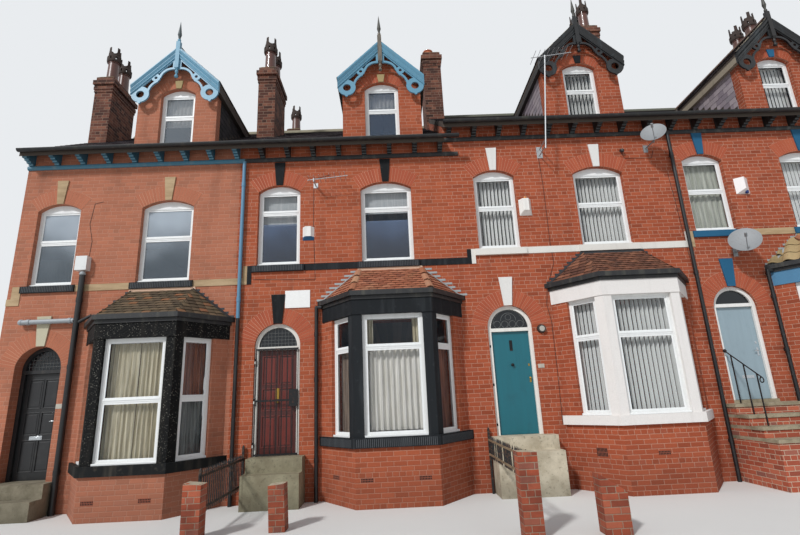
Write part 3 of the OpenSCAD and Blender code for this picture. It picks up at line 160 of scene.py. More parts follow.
class Paint:
    """A material that is put together from fields over the object."""

    def __init__(self, name):
        self.material = bpy.data.materials.new(name)
        self.material.use_nodes = True
        self.tree = self.material.node_tree
        self.tree.nodes.clear()
        self.shader = add_node(self.tree, "ShaderNodeBsdfPrincipled")
        add_node(self.tree, "ShaderNodeOutputMaterial", {"Surface": self.shader.outputs[0]})
        self.place = self.wire("TexCoord", out="Object")
        self.x, self.y, self.z = self.parts(self.place)
        self.nx, self.ny, self.nz = self.parts(self.wire("NewGeometry", out="True Normal"))

    def wire(self, kind, sockets=None, out=0, **settings):
        """Output of a new node."""
        return Wire(self, add_node(self.tree, "ShaderNode" + kind, sockets, **settings).outputs[out])

    def calc(self, operation, *values):
        return self.wire("Math", dict(enumerate(values)), operation=operation)

    def parts(self, vector):
        return [Wire(self, s) for s in add_node(self.tree, "ShaderNodeSeparateXYZ", {0: vector}).outputs]

    def mix(self, factor, a, b):
        """Colour a where factor is 0, and b where it is 1. The third output holds the colour."""
        return self.wire("Mix", {"Factor_Float": factor, "A_Color": a, "B_Color": b}, 2, data_type="RGBA")

    def shade(self, tint, amount):
        """Colour made darker or lighter by a factor field."""
        return self.wire("VectorMath", {0: tint, "Scale": amount}, operation="SCALE")

    def noise(self, scale, detail=3.0, stretch=(1, 1, 1)):
        at = self.wire("Mapping", {"Vector": self.place, "Scale": stretch})
        return self.wire("TexNoise", {"Vector": at, "Scale": scale, "Detail": detail, "Roughness": 0.55})

    def chance(self, a, b):
        """Random value of each pair of whole numbers."""
        pair = self.wire("CombineXYZ", {0: a, 1: b})
        return self.wire("TexWhiteNoise", {"Vector": pair}, "Value", noise_dimensions="2D")

    def ramp(self, factor, stops):
        node = add_node(self.tree, "ShaderNodeValToRGB", {0: factor})
        elements = node.color_ramp.elements
        while len(elements) < len(stops):
            elements.new(1.0)
        for element, (position, code) in zip(elements, stops):
            element.position, element.color = position, colour(code)
        return Wire(self, node.outputs[0])

    def stored(self, name):
        return self.wire("Attribute", out="Fac", attribute_name=name)

    def by_house(self, tints, edges=EDGES):
        """Colour picked by which house a point is on."""
        picked = colour(tints[0])
        for edge, tint in zip(edges, tints[1:]):
            picked = self.mix(self.x > edge, picked, colour(tint))
        return picked

    def per_house(self, values, edges=EDGES):
        """Value picked by which house a point is on."""
        total = values[0]
        for edge, a, b in zip(edges, values, values[1:]):
            if b != a:
                total = (self.x > edge) * (b - a) + total
        return total

    def stain(self, tint, code, noise, low, high, amount=1.0):
        """Patches of another colour, where a noise rises from low to high."""
        return self.mix(self.noise(*noise).rise(low, high) * amount, tint, colour(code))

    def done(self, tint, roughness=0.6, metallic=0.0, height=None, depth=0.004, **extra):
        sockets = {"Base Color": tint, "Roughness": roughness, "Metallic": metallic, **extra}
        if height is not None:
            sockets["Normal"] = self.wire("Bump", {"Height": height, "Distance": depth, "Strength": 1.0})
        for key, value in sockets.items():
            feed(self.tree, self.shader.inputs[key.replace("_", " ")], value)
        return self.material

    def grained(self, tint, noise, shade, gloss, depth, metallic=0.0, **extra):
        """Finish with a fine grain. Shade and gloss each hold a least value and what the grain adds."""
        grain = self.noise(*noise)
        roughness = grain * gloss[1] + gloss[0] if gloss[1] else gloss[0]
        return self.done(self.shade(tint, grain * shade[1] + shade[0]), roughness, metallic, height=grain,
                         depth=depth, **extra)


BRICK_TONES = [(0.0, "84402a"), (0.1, "95492f"), (0.5, "a25034"), (0.85, "ae5b3d"), (1.0, "9c5540")]
SOOTY_TONES = [(0.0, "3b2722"), (0.3, "5d3a30"), (0.7, "73483a"), (1.0, "8a5b48")]
PIER_TONES = [(0.0, "8f4632"), (0.4, "a95238"), (0.8, "b9654a"), (1.0, "8a5548")]
STRETCHER, JOINT = 0.235, 0.009
# The fourth house's steps: top of the treads, their pitch and thickness, and how far down they reach
TREAD_TOP, TREAD_PITCH, TREAD_T, TREADS_REACH = 1.427, 0.195, 0.061, 0.645
# Heights that part the storeys in the fields of materials that several storeys share
ABOVE_BAYS, BELOW_EAVES, KEYS_OF_DORMERS, PANES_OF_DORMERS = 4.3, 7.0, 7.55, 7.4
RAIN = (1, 1, 0.12)


def brick_fields(p):
    """Mortar mask, chance value of each brick and distance to its edge, on upright and level faces."""
    level = p.nz.size() > 0.7
    along = p.x * p.ny * -1.0 + p.y * p.nx
    u = along + level * (p.x - along)
    v = p.z + level * (p.y - p.z)
    row = (v / COURSE).floor()
    headers = (row % 6.0) < 0.5
    length = STRETCHER - headers * (STRETCHER / 2)
    a = u / length + (row % 2.0) * 0.5 + headers * 0.25
    column = a.floor()
    wander = p.noise(38.0, 1.0) * 0.006 - 0.003
    side = (0.5 - ((a - column) - 0.5).size()) * length
    bed = (0.5 - ((v / COURSE - row) - 0.5).size()) * COURSE
    edge = side.least(bed) + wander
    mortar = 1.0 - edge.rise(JOINT / 2 - 0.002, JOINT / 2 + 0.0025)
    return mortar, p.chance(column, row), edge


def brickwork(name, tones, mortar_code, soot=0.0, by_house=False, cap=None):
    """Bricks in courses, with soot, tints by house or a cap of bedding mortar."""
    p = Paint(name)
    mortar, chance, edge = brick_fields(p)
    grain = p.noise(90.0, 4.0)
    brick = p.shade(p.ramp(chance, tones), 0.83 + grain * 0.34)
    pale = p.shade(colour(mortar_code), 0.8 + grain * 0.4)
    if by_house:
        share = p.per_house([0.5, 0.35, 0.35, 0.35])
        brick = p.mix(share, brick, p.by_house(["b7836a", "aa5c3e", "a04f34", "984c35"]))
        pale = p.mix(p.per_house([0.74, 0.62, 0.52, 0.45]), pale, brick)
    both = p.shade(p.mix(mortar, brick, pale), 0.9 + p.noise(0.9, 4.0) * 0.2)
    dark = p.noise(2.2, 3.0, (1, 1, 0.22)).rise(0.5, 0.78) * (0.28 + soot)
    foot = (1.0 - p.z.rise(0.1, 1.1)) * 0.3
    both = p.mix(dark.most(foot), both, colour("4a322a"))
    if soot:
        both = p.stain(both, "2c2523", (3.0, 4.0), 0.4, 0.7, 0.35)
        both = p.mix((p.nz > 0.5) * (p.z > RIDGE_Z) * 0.7, both, colour("6a6848"))
    if cap:
        bedding = (p.nz > 0.3) * p.noise(11.0, 4.0).rise(0.3, 0.5)
        both = p.mix(bedding, both, p.shade(colour(cap), 0.75 + grain * 0.5))
    height = edge.least(0.012) * 60.0 + grain * 0.25
    return p.done(both, 0.88 - mortar * 0.02, height=height, depth=0.006, Specular_IOR_Level=0.25)


def rubbed_brick(name):
    p = Paint(name)
    grain = p.noise(120.0, 3.0)
    tint = p.ramp(p.stored("tone"), [(0.0, "a14d31"), (0.5, "a95236"), (1.0, "b05a3c")])
    tint = p.mix(p.per_house([0.55, 0.0, 0.0, 0.0]), tint, colour("b5795c"))
    tint = p.stain(p.shade(tint, 0.88 + grain * 0.24), "6b3a2c", (2.5, 3.0), 0.55, 0.8, 0.25)
    return p.done(tint, 0.85, height=grain, depth=0.002)


def lime(name, code):
    return Paint(name).grained(colour(code), (70.0, 4.0), (0.8, 0.4), (0.92, 0.0), 0.003)


def weathered(p, base, grime, amount):
    """Paint with rain streaks and spots of grime."""
    worn = p.stain(base, grime, (7.0, 3.0, RAIN), 0.5, 0.8, amount)
    return p.stain(worn, grime, (14.0, 4.0), 0.58, 0.75, amount * 0.6)


def natural_stone(p):
    stone = p.stain(colour("bda482"), "a58c6c", (3.5, 4.0, (0.5, 1, 2.5)), 0.35, 0.7)
    stone = p.stain(stone, "917c62", (1.7, 3.0), 0.45, 0.8, 0.6)
    return p.stain(stone, "6e6250", (60.0, 3.0), 0.6, 0.8, 0.5)


def trim_paint(name, tints, stones=None, edges=EDGES, dormer_tints=None, grime=(0.35, 0.3, 0.14, 0.12),
               pebbles=None, low_first=None):
    """Paint of the dressed stones, which changes from house to house."""
    p = Paint(name)
    amount = p.per_house(grime, edges)
    streak = p.noise(7.0, 3.0, RAIN).rise(0.48, 0.8)
    spots = p.noise(14.0, 4.0).rise(0.58, 0.75)
    worn = p.mix((streak * amount).most(spots * amount * 0.7), p.by_house(tints, edges),
                 p.by_house(["6a6358", "55595c", "8d8478", "22415a"], edges))
    if stones:
        worn = p.mix(p.per_house(stones, edges), worn, natural_stone(p))
    if low_first:
        worn = p.mix((p.x < WALL[1]) * (p.z < 4.0), worn, p.shade(colour(low_first), 0.85 + spots * 0.15))
    if dormer_tints:
        worn = p.mix(p.z > KEYS_OF_DORMERS, worn, p.by_house(dormer_tints, edges))
    height = grain = p.noise(55.0, 4.0)
    if pebbles:
        rough = p.per_house(pebbles, edges)
        lumps = p.wire("TexVoronoi", {"Vector": p.place, "Scale": 34.0}, "Distance")
        bare = rough * (1.0 - lumps.rise(0.12, 0.3)) * p.noise(9.0, 3.0).rise(0.35, 0.65)
        worn = p.mix(bare, worn, colour("8f8c82"))
        height = grain + rough * (1.0 - lumps) * 3.0
    return p.done(p.shade(worn, 0.9 + grain * 0.2), 0.55 + grain * 0.3, height=height, depth=0.0025,
                  Specular_IOR_Level=0.15)


def painted(name, tint, gloss=0.35, grime="2a2522", amount=0.2, edges=EDGES):
    """Weathered paint of one colour, or of a list of colours by house."""
    p = Paint(name)
    base = colour(tint) if isinstance(tint, str) else p.by_house(tint, edges)
    return p.grained(weathered(p, base, grime, amount), (40.0, 4.0), (0.92, 0.16), (gloss, 0.2), 0.0012)


def metal(name, code, metallic=0.9, gloss=0.35, rust=0.0):
    p = Paint(name)
    grain = p.noise(80.0, 4.0)
    tint = p.shade(colour(code), 0.85 + grain * 0.3)
    if rust:
        tint = p.stain(tint, "6b4130", (22.0, 4.0), 0.55, 0.7, rust)
    return p.done(tint, gloss + grain * 0.25, metallic, height=grain, depth=0.0008)


def tiles(name, tones, moss=0.3, moss_code="6d6a4c", upright=False):
    """Tiles that differ in tone, with moss. Unless they hang upright, they carry painted shade: faces that do
    not look up, such as their tails, are darkened.
    """
    p = Paint(name)
    grain = p.noise(75.0, 4.0)
    stops = tones if isinstance(tones[0], tuple) else list(zip((0.0, 0.5, 1.0), tones))
    tint = p.shade(p.ramp(p.stored("tone"), stops), 0.8 + grain * 0.4)
    patch = p.noise(2.6, 4.0).rise(0.48, 0.72).most(p.noise(30.0, 3.0).rise(0.6, 0.7))
    tint = p.mix(patch * moss, tint, colour(moss_code))
    # Painted shade: faces that tilt away from the sky, such as the tiles' tails, are darkened down to 0.3
    if not upright:
        tint = p.shade(tint, 0.3 + p.nz.rise(0.25, 0.6) * 0.7)
    return p.done(tint, 0.85, height=grain, depth=0.002, Specular_IOR_Level=0.25)


def boards_under(name):
    """Bare roof slab that shows at its edges and soffits."""
    p = Paint(name)
    plank = p.y / 0.12
    gap = 1.0 - ((plank - plank.floor()) - 0.5).size().rise(0.44, 0.49)
    tint = p.shade(colour("4a4038"), 0.7 + p.noise(9.0, 4.0, (0.2, 1, 1)) * 0.6)
    return p.done(p.shade(tint, 0.4 + gap * 0.6), 0.85, height=gap, depth=0.003)


def floor_boards(name):
    p = Paint(name)
    plank = p.x / 0.14
    seam = ((plank - plank.floor()) - 0.5).size().rise(0.46, 0.495)
    grain = p.noise(12.0, 5.0, (6, 0.4, 1))
    tint = p.ramp(p.chance(plank.floor(), 1.0), [(0.0, "6f5438"), (0.5, "86674a"), (1.0, "967554")])
    tint = p.shade(tint, (0.75 + grain * 0.5) * (1.0 - seam * 0.7))
    return p.done(tint, 0.6, height=1.0 - seam, depth=0.003)


def glazing(name):
    """Dark panes that let the curtains show. Bare upper ones of the first two houses carry a painted
    reflection of a cloudy sky, pale on the first house and dark blue on the second.
    """
    p = Paint(name)
    bare = (p.z > ABOVE_BAYS) * (p.x < WALL[2]) * (p.y < 1.0)
    roller = (p.x > WALL[1]) * (p.z > WIN_SILL + STEP[1] + 0.96) * (p.z < BELOW_EAVES)
    bare = bare * (1.0 - roller.most((p.z > PANES_OF_DORMERS) * 0.6) * 0.95)
    # Painted reflection: a cloud noise and a gradient that rises with height, in the colours of a sky
    # mirrored in bare panes
    cloud = p.noise(1.1, 2.0)
    high = ((p.z - 4.4) * 0.45 + cloud * 0.5 - 0.25).rise(0.1, 0.9)
    painted_sky_reflection = p.mix(high, p.by_house(["46545f", "1f2c3f"]), p.by_house(["c6d3df", "5a7398"]))
    tint = p.mix(bare, p.mix(cloud, colour("1d2730"), colour("33424f")), painted_sky_reflection)
    dust = p.noise(25.0, 3.0) * 0.05
    return p.done(tint, 0.04 + dust, Alpha=0.12 + bare * 0.52, Specular_IOR_Level=0.9, Coat_Weight=0.6,
                  Coat_Roughness=0.03)


def door_frame_paint(name):
    """Painted frames whose fanlight plates are dark glass."""
    p = Paint(name)
    worn = weathered(p, p.by_house(["17181a", "dcdad2", "e9e7e0", "e9e8e4"]), "7d7468", 0.22)
    plane = p.per_house([y + 0.046 for y in DOOR_Y])
    pane = ((p.y - plane).size() < 0.0075) * (p.ny.size() > 0.9)
    grain = p.noise(45.0, 3.0)
    return p.done(p.mix(pane, worn, colour("10151a")), 0.42 + grain * 0.15 - pane * 0.38, height=grain,
                  depth=0.001)


def door_paint(name, code, scuff):
    p = Paint(name)
    grain = p.noise(16.0, 4.0, (1, 1, 0.08))
    low = 1.0 - p.z.rise(0.9, 1.6)
    tint = p.shade(colour(code), 0.88 + grain * 0.24)
    tint = p.stain(tint, scuff, (5.0, 4.0), 0.5, 0.8, 0.25 + low * 0.3)
    return p.done(tint, 0.32 + grain * 0.2, height=grain, depth=0.0012, Coat_Weight=0.15)


def step_paint(name):
    """Worn stone steps. The fourth house's risers are brick under stone treads."""
    p = Paint(name)
    mortar, chance, edge = brick_fields(p)
    stone = p.mix(p.noise(4.0, 5.0).rise(0.3, 0.75), p.by_house(["8b8370", "969077", "cdc3ad", "a89c84"]),
                  p.by_house(["68614f", "79715b", "a99e88", "80755f"]))
    stone = p.stain(stone, "4d4a3d", (22.0, 4.0), 0.56, 0.72, 0.45)
    stone = p.mix((1.0 - p.z.rise(0.05, 0.5)) * 0.45, stone, colour("474334"))
    brick = p.mix(mortar, p.ramp(chance, PIER_TONES), colour("c2ab95"))
    down = TREAD_TOP - p.z
    riser = ((down % TREAD_PITCH) > TREAD_T).most(down > TREADS_REACH)
    riser = riser * (p.nz.size() < 0.5) * (p.x > WALL[3])
    riser = riser * (p.y < -0.0005) * (down > 0.0)
    grain = p.noise(60.0, 4.0)
    height = grain + riser * edge.least(0.012) * 60.0
    return p.done(p.shade(p.mix(riser, stone, brick), 0.9 + grain * 0.2), 0.86, height=height, depth=0.004)


def cloth(name, code, dark):
    p = Paint(name)
    weave = (p.z * 900.0).sine() * 0.5 + 0.5
    tint = p.mix(p.noise(5.0, 2.0, (6, 6, 0.3)).rise(0.3, 0.75), colour(dark), colour(code))
    return p.done(p.shade(tint, 0.94 + weave * 0.08), 0.9, height=weave, depth=0.0005, Sheen_Weight=0.3)


def fitting_paint(name):
    """Pale cases, but for the dark one between the upper houses and the round lamp by the third door."""
    p = Paint(name)
    base = p.by_house(["dfe1e0", "e8e8e4", "c9ccca", "ecebe8"])
    base = p.mix((p.x > 3.3) * (p.x < 3.9), base, colour("26282b"))
    across, up = p.x - 1.267, p.z - 3.08
    ring = (across * across + up * up).root()
    base = p.mix(ring < 0.12, base, p.mix(ring < 0.055, colour("353330"), colour("b3b0a6")))
    return p.done(weathered(p, base, "6b645a", 0.25), 0.4, height=p.noise(50.0, 3.0), depth=0.0008)


def alarm_paint(name):
    """White cases. The second house's has a blue foot."""
    p = Paint(name)
    base = p.by_house(["e8e8e4", "eceae6", "efece6", "eeeae8"])
    base = p.mix((p.x < -3.0) * (p.z < 5.275), base, colour("1f5c86"))
    return p.done(weathered(p, base, "857c70", 0.2), 0.38, height=p.noise(60.0, 3.0), depth=0.0006)


def bracket_paint(name):
    """Paint of the stepped brackets, with a painted highlight on the front of each tier."""
    p = Paint(name)
    base = p.by_house(["2f6379", "191b1d", "191b1d", "191b1d"], TRIM_EDGES)
    pale = p.by_house(["86a9b6", "5a5d5d", "5a5d5d", "5a5d5d"], TRIM_EDGES)
    # Painted highlight: faces that look to the front are mixed towards a pale tone
    worn = weathered(p, p.mix((p.ny < -0.8) * 0.6, base, pale), "7f8a88", 0.2)
    return p.grained(worn, (40.0, 4.0), (0.92, 0.16), (0.5, 0.0), 0.0012)


def pot_paint(name):
    """Brown glazed pots, and one of bare orange clay on the middle stack."""
    p = Paint(name)
    orange = (p.x > WALL[2] - 0.7) * (p.x < WALL[2] + 0.7) * (p.y < 3.0)
    base = p.mix(orange, colour("5b352b"), colour("b56340"))
    base = p.stain(base, "2f2927", (8.0, 3.0, (1, 1, 0.2)), 0.5, 0.75, 0.4)
    return p.grained(base, (30.0, 4.0), (0.85, 0.3), (0.3 + orange * 0.45, 0.1), 0.001, Coat_Weight=0.15)


def yard_iron_paint(name):
    """Old black paint with rust. The rails of the right railing are pale tan, partly worn paint and partly a
    painted highlight where they catch the sun.
    """
    p = Paint(name)
    tint = p.stain(colour("1a1b1c"), "6b4a35", (22.0, 4.0), 0.48, 0.66, 0.6)
    # Pale tan on the rails of the right railing: partly worn paint, partly a painted highlight of the sun on
    # them
    rails = ((p.z - 0.7).size() < 0.02).most((p.z - 0.96).size() < 0.02) * (p.x > -1.0)
    tint = p.stain(tint, "9f8b70", (9.0, 4.0), 0.25, 0.5, rails * 0.8)
    return p.grained(tint, (80.0, 4.0), (0.8, 0.4), (0.6, 0.0), 0.001, 0.1)


def pipe_paint(name):
    """Black pipes, but the eaves pipe between the first two houses is light blue down to the ground floor."""
    p = Paint(name)
    blue = (p.x > LINE[1] - 0.3) * (p.x < LINE[1]) * (p.z > 3.55)
    grey = (p.x < LINE[0] + 1.28) * (p.z > 3.5)
    cap = (p.x < LINE[0] + 1.5) * (p.z > 4.6)
    base = p.mix(blue, colour("131416"), colour("5a88a5"))
    base = p.mix(grey.most(cap), base, colour("9aa0a4"))
    return p.done(weathered(p, base, "55585a", 0.25), 0.35 + p.noise(30.0, 3.0) * 0.2,
                  height=p.noise(40.0, 3.0), depth=0.001)


def post_paint(name):
    """Gable posts: blue paint, bare wood on the second house, black on the upper pair, with dark spears."""
    p = Paint(name)
    base = p.by_house(["6399b3", "6f6558", "17181a", "1a1818"])
    worn = p.stain(base, "3c352e", (20.0, 4.0, (1, 1, 0.2)), 0.4, 0.7, p.per_house([0.1, 0.9, 0.0, 0.0]))
    spear = (p.z > DORMER_RIDGE + 0.2).least(p.x < WALL[2]).most(p.z > DORMER_RIDGE + LIFT[2] + 0.17)
    worn = p.mix(spear * 0.9, worn, colour("3b3a34"))
    return p.grained(worn, (40.0, 4.0, (1, 1, 0.2)), (0.85, 0.3), (0.5, 0.0), 0.0015)


class Shape:
    """Points and faces of a piece, put together from solids."""

    def __init__(self, closed=True):
        self.points, self.faces, self.closed = [], [], closed

    def add(self, points, faces, place=None):
        base = len(self.points)
        self.points += [place @ Vector(q) if place else Vector(q) for q in points]
        self.faces += [[base + k for k in face] for face in faces]
        return self

    def skin(self, points, rings, sides, place=None):
        """Solid over rings of points that follow each other, shut at both ends."""
        faces = [[r * sides + k, r * sides + (k + 1) % sides, (r + 1) * sides + (k + 1) % sides,
                  (r + 1) * sides + k] for r in range(rings - 1) for k in range(sides)]
        faces += [list(range(sides))[::-1], list(range((rings - 1) * sides, rings * sides))]
        return self.add(points, faces, place)

    def slab(self, outline, y0, y1, place=None):
        """Outline drawn as X and Z, standing from depth y0 to y1."""
        return self.skin([(x, y, z) for y in (y0, y1) for x, z in outline], 2, len(outline), place)

    def box(self, x, y, z, place=None):
        return self.slab([(x[0], z[0]), (x[1], z[0]), (x[1], z[1]), (x[0], z[1])], y[0], y[1], place)

    def surround(self, x, y, z, w, place=None):
        """Four bars of width w round an opening, within the bounds x and z."""
        for side in ((x[0], x[0] + w), (x[1] - w, x[1])):
            self.box(side, y, z, place)
        for side in ((z[0], z[0] + w), (z[1] - w, z[1])):
            self.box((x[0] + w, x[1] - w), y, side, place)

    def lathe(self, profile, place=None, sides=20):
        """Profile of radius and height, turned about Z."""
        points = [(r * math.cos(a), r * math.sin(a), h) for r, h in profile
                  for a in (math.tau * k / sides for k in range(sides))]
        return self.skin(points, len(profile), sides, place)

    def tube(self, path, radius, sides=8, place=None):
        """Round bar along a path, closed at its ends."""
        path = [Vector(q) for q in path]
        points = []
        for k, q in enumerate(path):
            ahead = (path[min(k + 1, len(path) - 1)] - path[max(k - 1, 0)]).normalized()
            side = ahead.cross(Vector((0.13, 0.99, 0.05))).normalized()
            other = ahead.cross(side)
            points += [q + (side * math.cos(a) + other * math.sin(a)) * radius
                       for a in (math.tau * t / sides for t in range(sides))]
        return self.skin(points, len(path), sides, place)

    def mesh(self, name):
        mesh = bpy.data.meshes.new(name)
        mesh.from_pydata(self.points, [], self.faces)
        if self.closed:
            work = bmesh.new()
            work.from_mesh(mesh)
            bmesh.ops.recalc_face_normals(work, faces=work.faces)
            work.to_mesh(mesh)
            work.free()
        mesh.update()
        return mesh


def link(name, data):
    """Object of a mesh, camera or lamp, in the scene."""
    thing = bpy.data.objects.new(name, data)
    bpy.context.scene.collection.objects.link(thing)
    return thing


def put(name, shape, paint, body=ROW, bevel=0.0, smooth=False):
    """Makes a piece of a shape or of a finished mesh and lets it ride on a body."""
    mesh = shape.mesh(name) if isinstance(shape, Shape) else shape
    if smooth:
        mesh.polygons.foreach_set("use_smooth", [True] * len(mesh.polygons))
        mesh.set_sharp_from_angle(angle=math.radians(38))
    if not mesh.materials:
        mesh.materials.append(paint)
    piece = link(name, mesh)
    if bevel:
        edge = piece.modifiers.new("edge", "BEVEL")
        edge.width, edge.segments, edge.limit_method = bevel, 2, "ANGLE"
    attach(piece, body)
    return piece


def lay_tree():
    """Tree that lays a unit at each point, with a little wander, and the keys of its inputs."""
    tree = bpy.data.node_groups.new("lay_units", "GeometryNodeTree")

    def new_socket(label, kind, way="INPUT"):
        return tree.interface.new_socket(label, in_out=way, socket_type="NodeSocket" + kind).identifier

    def add(kind, sockets=None, **settings):
        return next(s for s in add_node(tree, kind, sockets, **settings).outputs if s.enabled)

    new_socket("Geometry", "Geometry")
    keys = {label: new_socket(label, kind) for label, kind in
            (("Unit", "Object"), ("Finish", "Material"), ("Turn wander", "Vector"), ("Size wander", "Float"),
             ("Seed", "Int"))}
    new_socket("Geometry", "Geometry", "OUTPUT")
    start = tree.nodes.new("NodeGroupInput").outputs
    unit = add_node(tree, "GeometryNodeObjectInfo", {"Object": start["Unit"]}).outputs["Geometry"]
    turn, size = (add("GeometryNodeInputNamedAttribute", {"Name": name}, data_type="FLOAT_VECTOR")
                  for name in ("turn", "size"))
    back = add("ShaderNodeVectorMath", {0: start["Turn wander"], "Scale": -1.0}, operation="SCALE")
    jitter = add("FunctionNodeRandomValue", {"Min": back, "Max": start["Turn wander"], "Seed": start["Seed"]},
                 data_type="FLOAT_VECTOR")
    fixed, extra = (add("FunctionNodeEulerToRotation", {0: angles}) for angles in (turn, jitter))
    both = add("FunctionNodeRotateRotation", {0: fixed, 1: extra}, rotation_space="LOCAL")
    least = add("ShaderNodeMath", {0: 1.0, 1: start["Size wander"]}, operation="SUBTRACT")
    grow = add("FunctionNodeRandomValue", {"Min": least, "Max": 1.0, "Seed": start["Seed"]},
               data_type="FLOAT")
    sized = add("ShaderNodeVectorMath", {0: size, "Scale": grow}, operation="SCALE")
    copies = add("GeometryNodeInstanceOnPoints", {"Points": start["Geometry"], "Instance": unit,
                                                  "Rotation": both, "Scale": sized})
    tone = add("FunctionNodeRandomValue", {"Seed": start["Seed"]}, data_type="FLOAT")
    kept = add("GeometryNodeStoreNamedAttribute", {"Geometry": copies, "Name": "tone", "Value": tone},
               data_type="FLOAT", domain="INSTANCE")
    real = add("GeometryNodeRealizeInstances", {"Geometry": kept})
    last = add("GeometryNodeSetMaterial", {"Geometry": real, "Material": start["Finish"]})
    add_node(tree, "NodeGroupOutput", {0: last})
    return tree, keys


LAY_TREE, LAY_KEYS = lay_tree()


def lay(name, unit, places, paint, wander=(0, 0, 0), shrink=0.0, seed=1):
    """Lays a unit at each place, which is a matrix, as one plain mesh."""
    points = bpy.data.meshes.new(name + "_points")
    points.from_pydata([m.to_translation() for m in places], [], [])
    for key, pick in (("turn", Matrix.to_euler), ("size", Matrix.to_scale)):
        row = points.attributes.new(key, "FLOAT_VECTOR", "POINT")
        row.data.foreach_set("vector", [c for m in places for c in pick(m)])
    source, work = link(name + "_unit", unit.mesh(name + "_unit")), link(name + "_work", points)
    modifier = work.modifiers.new("lay", "NODES")
    modifier.node_group = LAY_TREE
    for label, value in (("Unit", source), ("Finish", paint), ("Turn wander", wander),
                         ("Size wander", shrink), ("Seed", seed)):
        modifier[LAY_KEYS[label]] = value
    graph = bpy.context.evaluated_depsgraph_get()
    mesh = bpy.data.meshes.new_from_object(work.evaluated_get(graph), preserve_all_data_layers=True,
                                           depsgraph=graph)
    mesh.name = name
    bpy.data.objects.remove(work)
    bpy.data.objects.remove(source)
    put(name, mesh, paint)


def axes(a, b, c, origin):
    """Matrix that takes X, Y and Z to the directions a, b and c, and zero to origin."""
    return move(origin) @ Matrix((a, b, c)).transposed().to_4x4()


def frame_at(origin, along, up):
    """Matrix of a plane: X along it, Y up it and Z out of it."""
    a, b = Vector(along).normalized(), Vector(up).normalized()
    return axes(a, b, a.cross(b), origin)


def courses(plane, spans, height, width, gauge, foot=-0.02):
    """Places of tiles in broken bond. spans(s) gives the runs of a course whose tail is at s."""
    places = []
    for r in range(int((height - foot) / gauge + 0.35)):
        s = foot + r * gauge
        for a0, a1 in spans(s):
            a = a0 - (width / 2 if r % 2 else 0.0)
            while a < a1 - 0.01:
                b0, b1 = max(a, a0), min(a + width, a1)
                if b1 - b0 > 0.03:
                    places.append(plane @ move(((b0 + b1) / 2, s, 0))
                                  @ Matrix.Diagonal(((b1 - b0) / width, 1, 1, 1)))
                a += width
    return places


def tile_unit(profile, length, tail, head):
    """Tile along Y over a profile of X and Z, with a lower and an upper face at its tail and at its head."""
    points = []
    for y, (low, high) in ((0, tail), (length, head)):
        points += [(x, y, z + low) for x, z in profile] + [(x, y, z + high) for x, z in reversed(profile)]
    return Shape().skin(points, 2, 2 * len(profile))


def flat_tile(width, length, tail, head, camber=0.0, cuts=1):
    """Tile that is thick at its tail and thin at its head, with a slight camber."""
    half = width / 2 - 0.002
    xs = [-half + 2 * half * k / cuts for k in range(cuts + 1)]
    return tile_unit([(x, camber * (1 - (x / half) ** 2)) for x in xs], length, (0, tail), (0, head))


def give(paint, names):
    """Puts a material on CAD nodes."""
    for name in names.split():
        node = nodes[name]
        if not node.material_slots:
            node.data.materials.append(paint)
        for slot in node.material_slots:
            slot.material = paint


# Materials of the CAD nodes
BARGE_TINTS = ["6d9fb8", "5f93ac", "17181a", "17181a"]
SPECKLED = {"edges": BAY_EDGES, "grime": (0.12, 0.25, 0.12, 0.12), "pebbles": (1, 0, 0, 0)}
yard_iron = yard_iron_paint("iron_yard")
give(brickwork("brick_front", BRICK_TONES, "cfae98", by_house=True),
     "front_piers door_arch_walls walls_over_bays upper_front_a upper_front_b upper_front_c upper_front_d "
     "dormer_fronts bay_plinth_fronts bay_plinth_cants bay_brick_jambs")
give(brickwork("brick_rear", BRICK_TONES, "b9a08e"), "rear_wall_ab rear_wall_cd party_walls")
give(brickwork("brick_sooty", SOOTY_TONES, "8d7767", soot=0.25), "chimney_stacks")
give(brickwork("brick_yard", PIER_TONES, "a08b77", soot=0.1, cap="b3aa94"), "yard_piers")
give(floor_boards("boards"), "ground_floors first_floors attic_floors bay_floors")
give(boards_under("roof_boards"), "roof_front_slopes roof_rear_slopes dormer_slopes bay_roofs dormer_cheeks")
give(painted("ridge_clay_weathered", ["8b8470", "8b8470", "5b5c50", "5b5c50"], 0.8, "5f6150", 0.5),
     "ridge_tiles")
give(trim_paint("key_paint", ["b39f7e", "16181a", "e2e0dc", "2a5f80"], (0.95, 0, 0, 0), low_first="cfc8ae",
                dormer_tints=["a8956c", "a8956c", "1d1f22", "2c6487"]), "keystones")
give(trim_paint("sill_paint", ["24272a", "23262a", "e0ddd6", "2a5f80"]), "window_sills")
give(trim_paint("band_paint", ["c0a978", "1d1f22", "e0ddd6", "c0a978"], (1, 0, 0, 1), BAND_EDGES),
     "sill_bands")
give(trim_paint("bay_sill_paint", ["17191a", "1e2124", "e6e2de", "2a5f80"], edges=BAY_EDGES), "bay_sills")
give(trim_paint("bay_post_paint", ["0d0e0f", "212427", "e6e2de", "86a6bd"], **SPECKLED), "bay_posts")
give(trim_paint("bay_lintel_paint", ["0d0e0f", "1c1f22", "e6e2de", "5482a3"], **SPECKLED), "bay_lintels")
give(painted("bay_gutter_paint", "1b1c1e", 0.4, "6c6a5c", 0.3), "bay_gutters")
give(painted("gutter_paint", "1a1b1d", 0.4, "6a6656", 0.28), "gutters")
give(painted("string_paint", ["3e7288", "191b1d", "191b1d", "191b1d"], 0.4, "8c8f86", 0.3, TRIM_EDGES),
     "string_mouldings")
give(bracket_paint("bracket_paint"), "eaves_brackets")
give(painted("barge_paint", BARGE_TINTS, 0.32, "56646a", 0.3), "bargeboards barge_frets")
